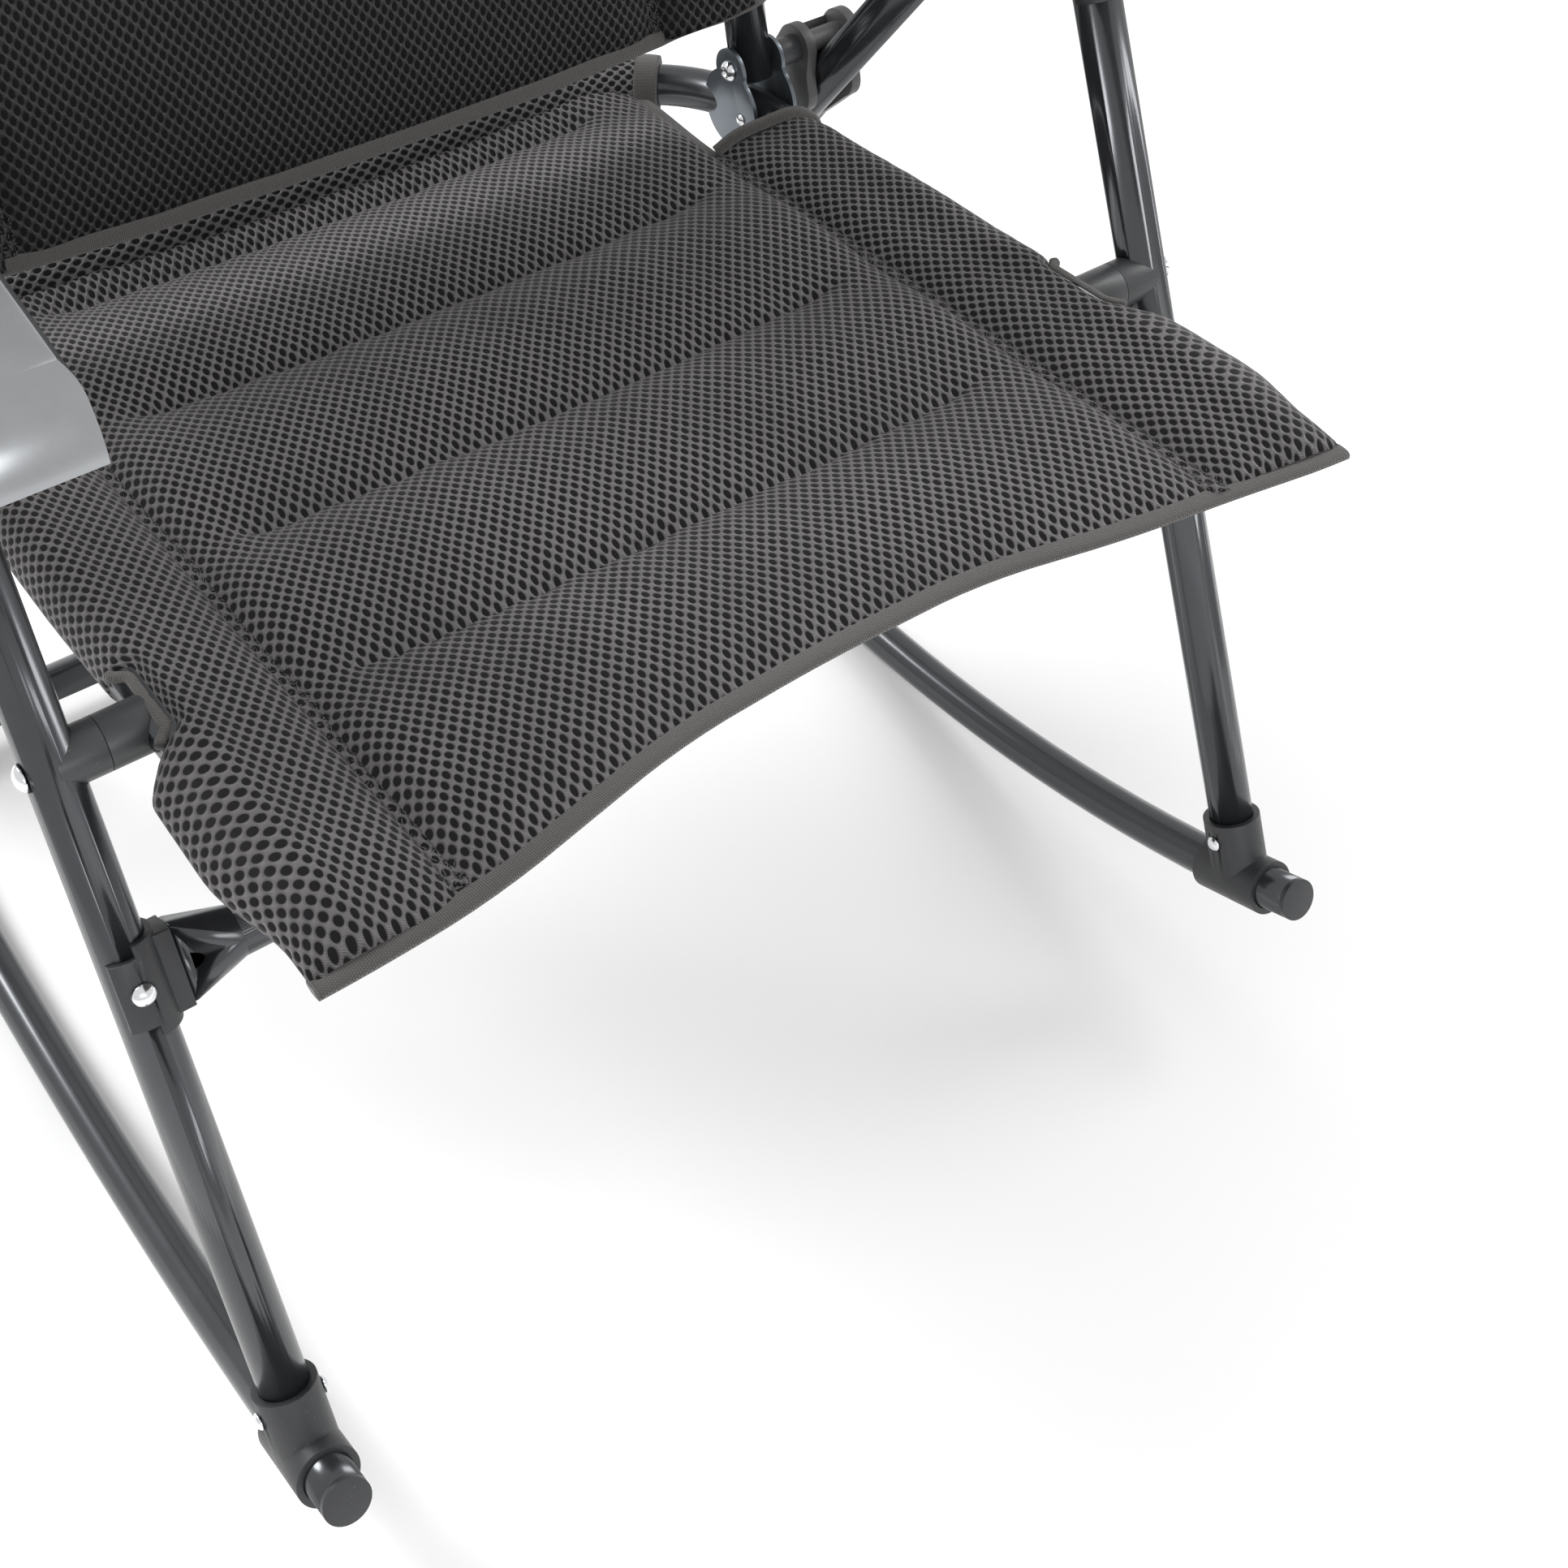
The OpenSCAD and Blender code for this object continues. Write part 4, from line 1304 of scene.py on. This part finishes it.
@dataclass
class BackCover(Cover):
    """Cover of the back."""

    body: Body = Body.BACK
    slot: Slot = Slot.BACK
    prefix: str = "back"
    channels: tuple[float, ...] = (262.0, 380.0, 498.0, 616.0)

    @property
    def place(self) -> Place:
        """Frame that the cover is drawn in."""
        return self.layout.back

    @property
    def cloth(self) -> Finish:
        """Finish of the mesh."""
        return FINISHES.back

    @property
    def tape(self) -> Finish:
        """Finish of the tapes."""
        return FINISHES.dark_tape

    def foot(self, x: np.ndarray) -> np.ndarray:
        """s of the bottom edge at x."""
        return np.interp(np.abs(x), [0, 120, 200, 240, 275], [26, 27, 31, 36, 43])

    def half(self, s: np.ndarray) -> np.ndarray:
        """Half width of the panel at s."""
        lay = self.layout
        rise = np.clip(s - (lay.back_top - lay.back_bend), 0, lay.back_bend)
        corner = lay.side_x - lay.back_bend + np.sqrt(lay.back_bend ** 2 - rise ** 2)
        grown = smooth(s, 640, 664)
        return lay.back_half * (1 - grown) + corner * grown

    def build(self) -> None:
        """Makes the whole cover."""
        self.panel()
        for side, label in ((1, "left"), (-1, "right")):
            self.side(side, label)
        self.top()
        x = np.linspace(-273.0, 273.0, 220)
        lift = 15.0 * smooth(np.abs(x), 205, 262) - 4.0 * smooth(np.abs(x), 262, 273)
        self.tape_along("back_bottom_tape", np.stack([x, self.foot(x) + 1.5, -2 + lift], -1), 5.0, 3.8)

    def panel(self) -> None:
        """Quilted middle panel."""
        u, t = np.meshgrid(np.linspace(-1, 1, 137), np.linspace(0, 1, 230))
        first = self.foot(u * self.layout.back_half)
        s = first + (738 - first) * t
        x = u * self.half(s)
        pads = quilt(s, (first - 3, *self.channels, 760.0), 0.45)
        near = np.min([np.abs(s - c) for c in self.channels], axis=0)
        flat = smooth(np.abs(x), 150, 182)
        pads = pads + (0.66 - pads) * flat * 0.8 * (pads < 0.66)
        rim = fade(self.half(s) - np.abs(x), 15) * fade(s - first, 14)
        pucker = np.exp(-(near / 15) ** 2)
        waves = (0.8 * pucker * ripple(x, s * 0.25, 19, 6) + 0.4 * ripple(x, s, 50, 7)
                 + 0.2 * ripple(x, s, 18, 8))
        hang = 5 * (1 - (x / 205) ** 2) * smooth(s, 20, 200)
        top = -3 - hang + (13 * pads + waves) * rim
        low = -4.5 - hang - (7.5 * pads + 0.6 * waves) * rim
        rim_line = (np.abs(u) > 0.9999) | (t < 1e-6) | (t > 1 - 1e-6)
        low = np.where(rim_line, top, low)
        self.keep(pillow("back_panel", self.place, np.stack([x, s, top], -1), np.stack([x, s, low], -1),
                         self.cloth), "back_pad", padded=0.7)
        rows = []
        for c in self.channels:
            line = np.linspace(-160, 160, 110)
            line_s = c + 1.2 * ripple(line, 0 * line, 70, int(c))
            rows.append(self.place.world(np.stack([line, line_s, -2.2 - 5 * (1 - (line / 205) ** 2)], -1)))
        self.keep(self.stitcher.lay("back_channel_stitches", rows, FINISHES.thread, Pitch=0.0042,
                                    Length=0.0034, Thickness=0.0008, Wander=0.12, Seed=6))

    def side(self, side: int, label: str) -> None:
        """One side sleeve with its seam."""
        at = self.layout.stud_at

        def outer(s: np.ndarray) -> np.ndarray:
            return 275.0 - 9.5 * smooth(20 - np.abs(s - at), -5, 4)

        self.sleeve("back_sleeve_" + label, side, self.layout.back_half,
                    front=self.foot, rear=lambda x: 666.0 + 0 * x, outer=outer,
                    squeeze=lambda t: 1.0 + 0 * t, nodes=["back_sleeve_" + label], rows=150)
        self.seam("back_seam_" + label, side, self.layout.back_half + 0.6, 34, 655)

    def top(self) -> None:
        """Roll round the top of the back tube."""
        lay = self.layout
        straight, level = lay.side_x - lay.back_bend, lay.back_top - lay.back_bend
        rise = np.stack([np.full(6, lay.side_x), np.linspace(level - 18, level - 3, 6)], -1)
        turn = np.radians(np.linspace(0, 90, 26))
        arc = np.stack([straight + lay.back_bend * np.cos(turn), level + lay.back_bend * np.sin(turn)], -1)
        bar = np.stack([np.linspace(straight - 4, 4 - straight, 80), np.full(80, lay.back_top)], -1)
        flat = np.vstack([rise, arc, bar, arc[::-1] * [-1, 1], rise[::-1] * [-1, 1]])
        self.roll("back_top_roll", np.column_stack([flat, np.zeros(len(flat))]), 16.6, ["back_top_sleeve"])


@dataclass
class Hardware:
    """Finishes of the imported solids.

    Args:
        nodes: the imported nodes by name.
    """

    nodes: dict[str, bpy.types.Object]

    #: words in a node's name, its finish and the width of its rounded edges in millimetres
    rules: tuple[tuple[str, str, float], ...] = (
        ("link_left", "link", 1.6), ("link_right", "link", 1.6), ("armrest", "grey", 2.2),
        ("bush", "bush", 0.5), ("saddle", "black", 1.2), ("plates", "plate", 0.6),
        ("rivet", "zinc", 0.0), ("bolt", "zinc", 0.0), ("pins", "zinc", 0.0), ("nuts", "zinc", 0.5),
        ("shoe", "black", 1.0), ("cup", "black", 1.2), ("head", "black", 1.0), ("cap", "black", 0.8),
        ("plug", "black", 0.5), ("spacer", "bush", 0.4), ("stud", "black", 0.6),
        ("leg", "tube", 0.0), ("runner", "tube", 0.0), ("tube", "tube", 0.0), ("post", "tube", 0.0),
    )

    def dress(self) -> None:
        """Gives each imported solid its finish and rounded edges."""
        for name, thing in self.nodes.items():
            rule = next((r for r in self.rules if r[0] in name), None)
            if rule is None or thing.hide_render:
                continue
            thing.data.materials.clear()
            thing.data.materials.append(getattr(FINISHES, rule[1]).make())
            join = thing.modifiers.new("join", "WELD")
            join.merge_threshold = 1e-5
            if rule[2]:
                edge = thing.modifiers.new("edges", "BEVEL")
                edge.width, edge.segments = rule[2] * MM, 3
                edge.limit_method, edge.angle_limit = "ANGLE", math.radians(38)
                edge.use_clamp_overlap, edge.harden_normals = True, False
            thing.data.shade_smooth()
            thing.data.set_sharp_from_angle(angle=math.radians(32))


@dataclass
class Studio:
    """Floor, light and camera.

    Args:
        hinge: the point between the two hinge bolts.
        reach: the camera's place from that point, in metres.
    """

    hinge: Vector
    reach: tuple[float, float, float] = (-0.4719, -0.9209, 0.7213)
    yaw: float = 35.24
    pitch: float = 43.99
    roll: float = 1.29
    focal: float = 51.91
    shift: tuple[float, float] = (0.0996, -0.1435)

    def lamp(self, name: str, at: Sequence[float], aim: Sequence[float], size: Sequence[float],
             power: float) -> None:
        """Adds a soft lamp.

        Args:
            name: its name.
            at: its place.
            aim: the point it faces.
            size: its width and height.
            power: its power in watts.
        """
        data = bpy.data.lights.new(name, "AREA")
        data.shape, data.size, data.size_y, data.energy = "RECTANGLE", size[0], size[1], power
        thing = bpy.data.objects.new(name, data)
        bpy.context.scene.collection.objects.link(thing)
        thing.location = at
        thing.rotation_euler = (Vector(aim) - Vector(at)).to_track_quat("-Z", "Y").to_euler()

    def build(self) -> None:
        """Makes the floor, the lights and the camera."""
        scene = bpy.context.scene
        floor = bpy.data.meshes.new("floor")
        floor.from_pydata([(-9, -9, 0), (9, -9, 0), (9, 9, 0), (-9, 9, 0)], [], [(0, 1, 2, 3)])
        paint = Finish("pale floor", (0.9, 0.9, 0.9), 0.9)
        floor.materials.append(paint.make())
        ground = bpy.data.objects.new("floor", floor)
        scene.collection.objects.link(ground)
        world = bpy.data.worlds.new("studio")
        world.use_nodes = True
        world.node_tree.nodes["Background"].inputs[0].default_value = (1.0, 1.0, 1.0, 1.0)
        world.node_tree.nodes["Background"].inputs[1].default_value = 0.85
        scene.world = world
        self.lamp("key", (-1.6, 1.6, 2.7), (0, -0.1, 0.45), (1.2, 1.2), 75)
        self.lamp("side", (2.6, -0.6, 1.9), (0, 0, 0.4), (0.7, 2.0), 38)
        self.lamp("front", (-0.8, -2.8, 1.6), (0, 0, 0.45), (1.6, 0.8), 22)
        data = bpy.data.cameras.new("camera")
        data.sensor_width, data.lens = 36.0, self.focal
        data.shift_x, data.shift_y = self.shift
        data.clip_start = 0.02
        camera = bpy.data.objects.new("camera", data)
        scene.collection.objects.link(camera)
        yaw, pitch, roll = (math.radians(a) for a in (self.yaw, self.pitch, self.roll))
        ahead = Vector((math.sin(yaw) * math.cos(pitch), math.cos(yaw) * math.cos(pitch), -math.sin(pitch)))
        right = ahead.cross(Vector((0, 0, 1))).normalized()
        up = right.cross(ahead)
        right, up = (math.cos(roll) * right + math.sin(roll) * up,
                     math.cos(roll) * up - math.sin(roll) * right)
        camera.matrix_world = Matrix((right, up, -ahead)).transposed().to_4x4()
        camera.location = self.hinge + Vector(self.reach)
        scene.camera = camera
        scene.view_settings.view_transform = "Standard"


def main() -> None:
    """Builds the chair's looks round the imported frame."""
    logging.basicConfig(level=logging.INFO, format="%(name)s: %(message)s")
    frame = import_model()
    layout = Layout.read(frame["joints"])
    stitcher = Stitcher()
    covers: list[Cover] = [SeatCover(layout, stitcher), BackCover(layout, stitcher)]
    for cover in covers:
        cover.build()
        log.info("%s cover: %s", cover.prefix, ", ".join(
            f"{p.name} {len(p.data.polygons)}" for p in cover.made))
    Hardware(frame["nodes"]).dress()
    Studio(hinge_point(frame["joints"])).build()


if __name__ == "__main__":
    main()
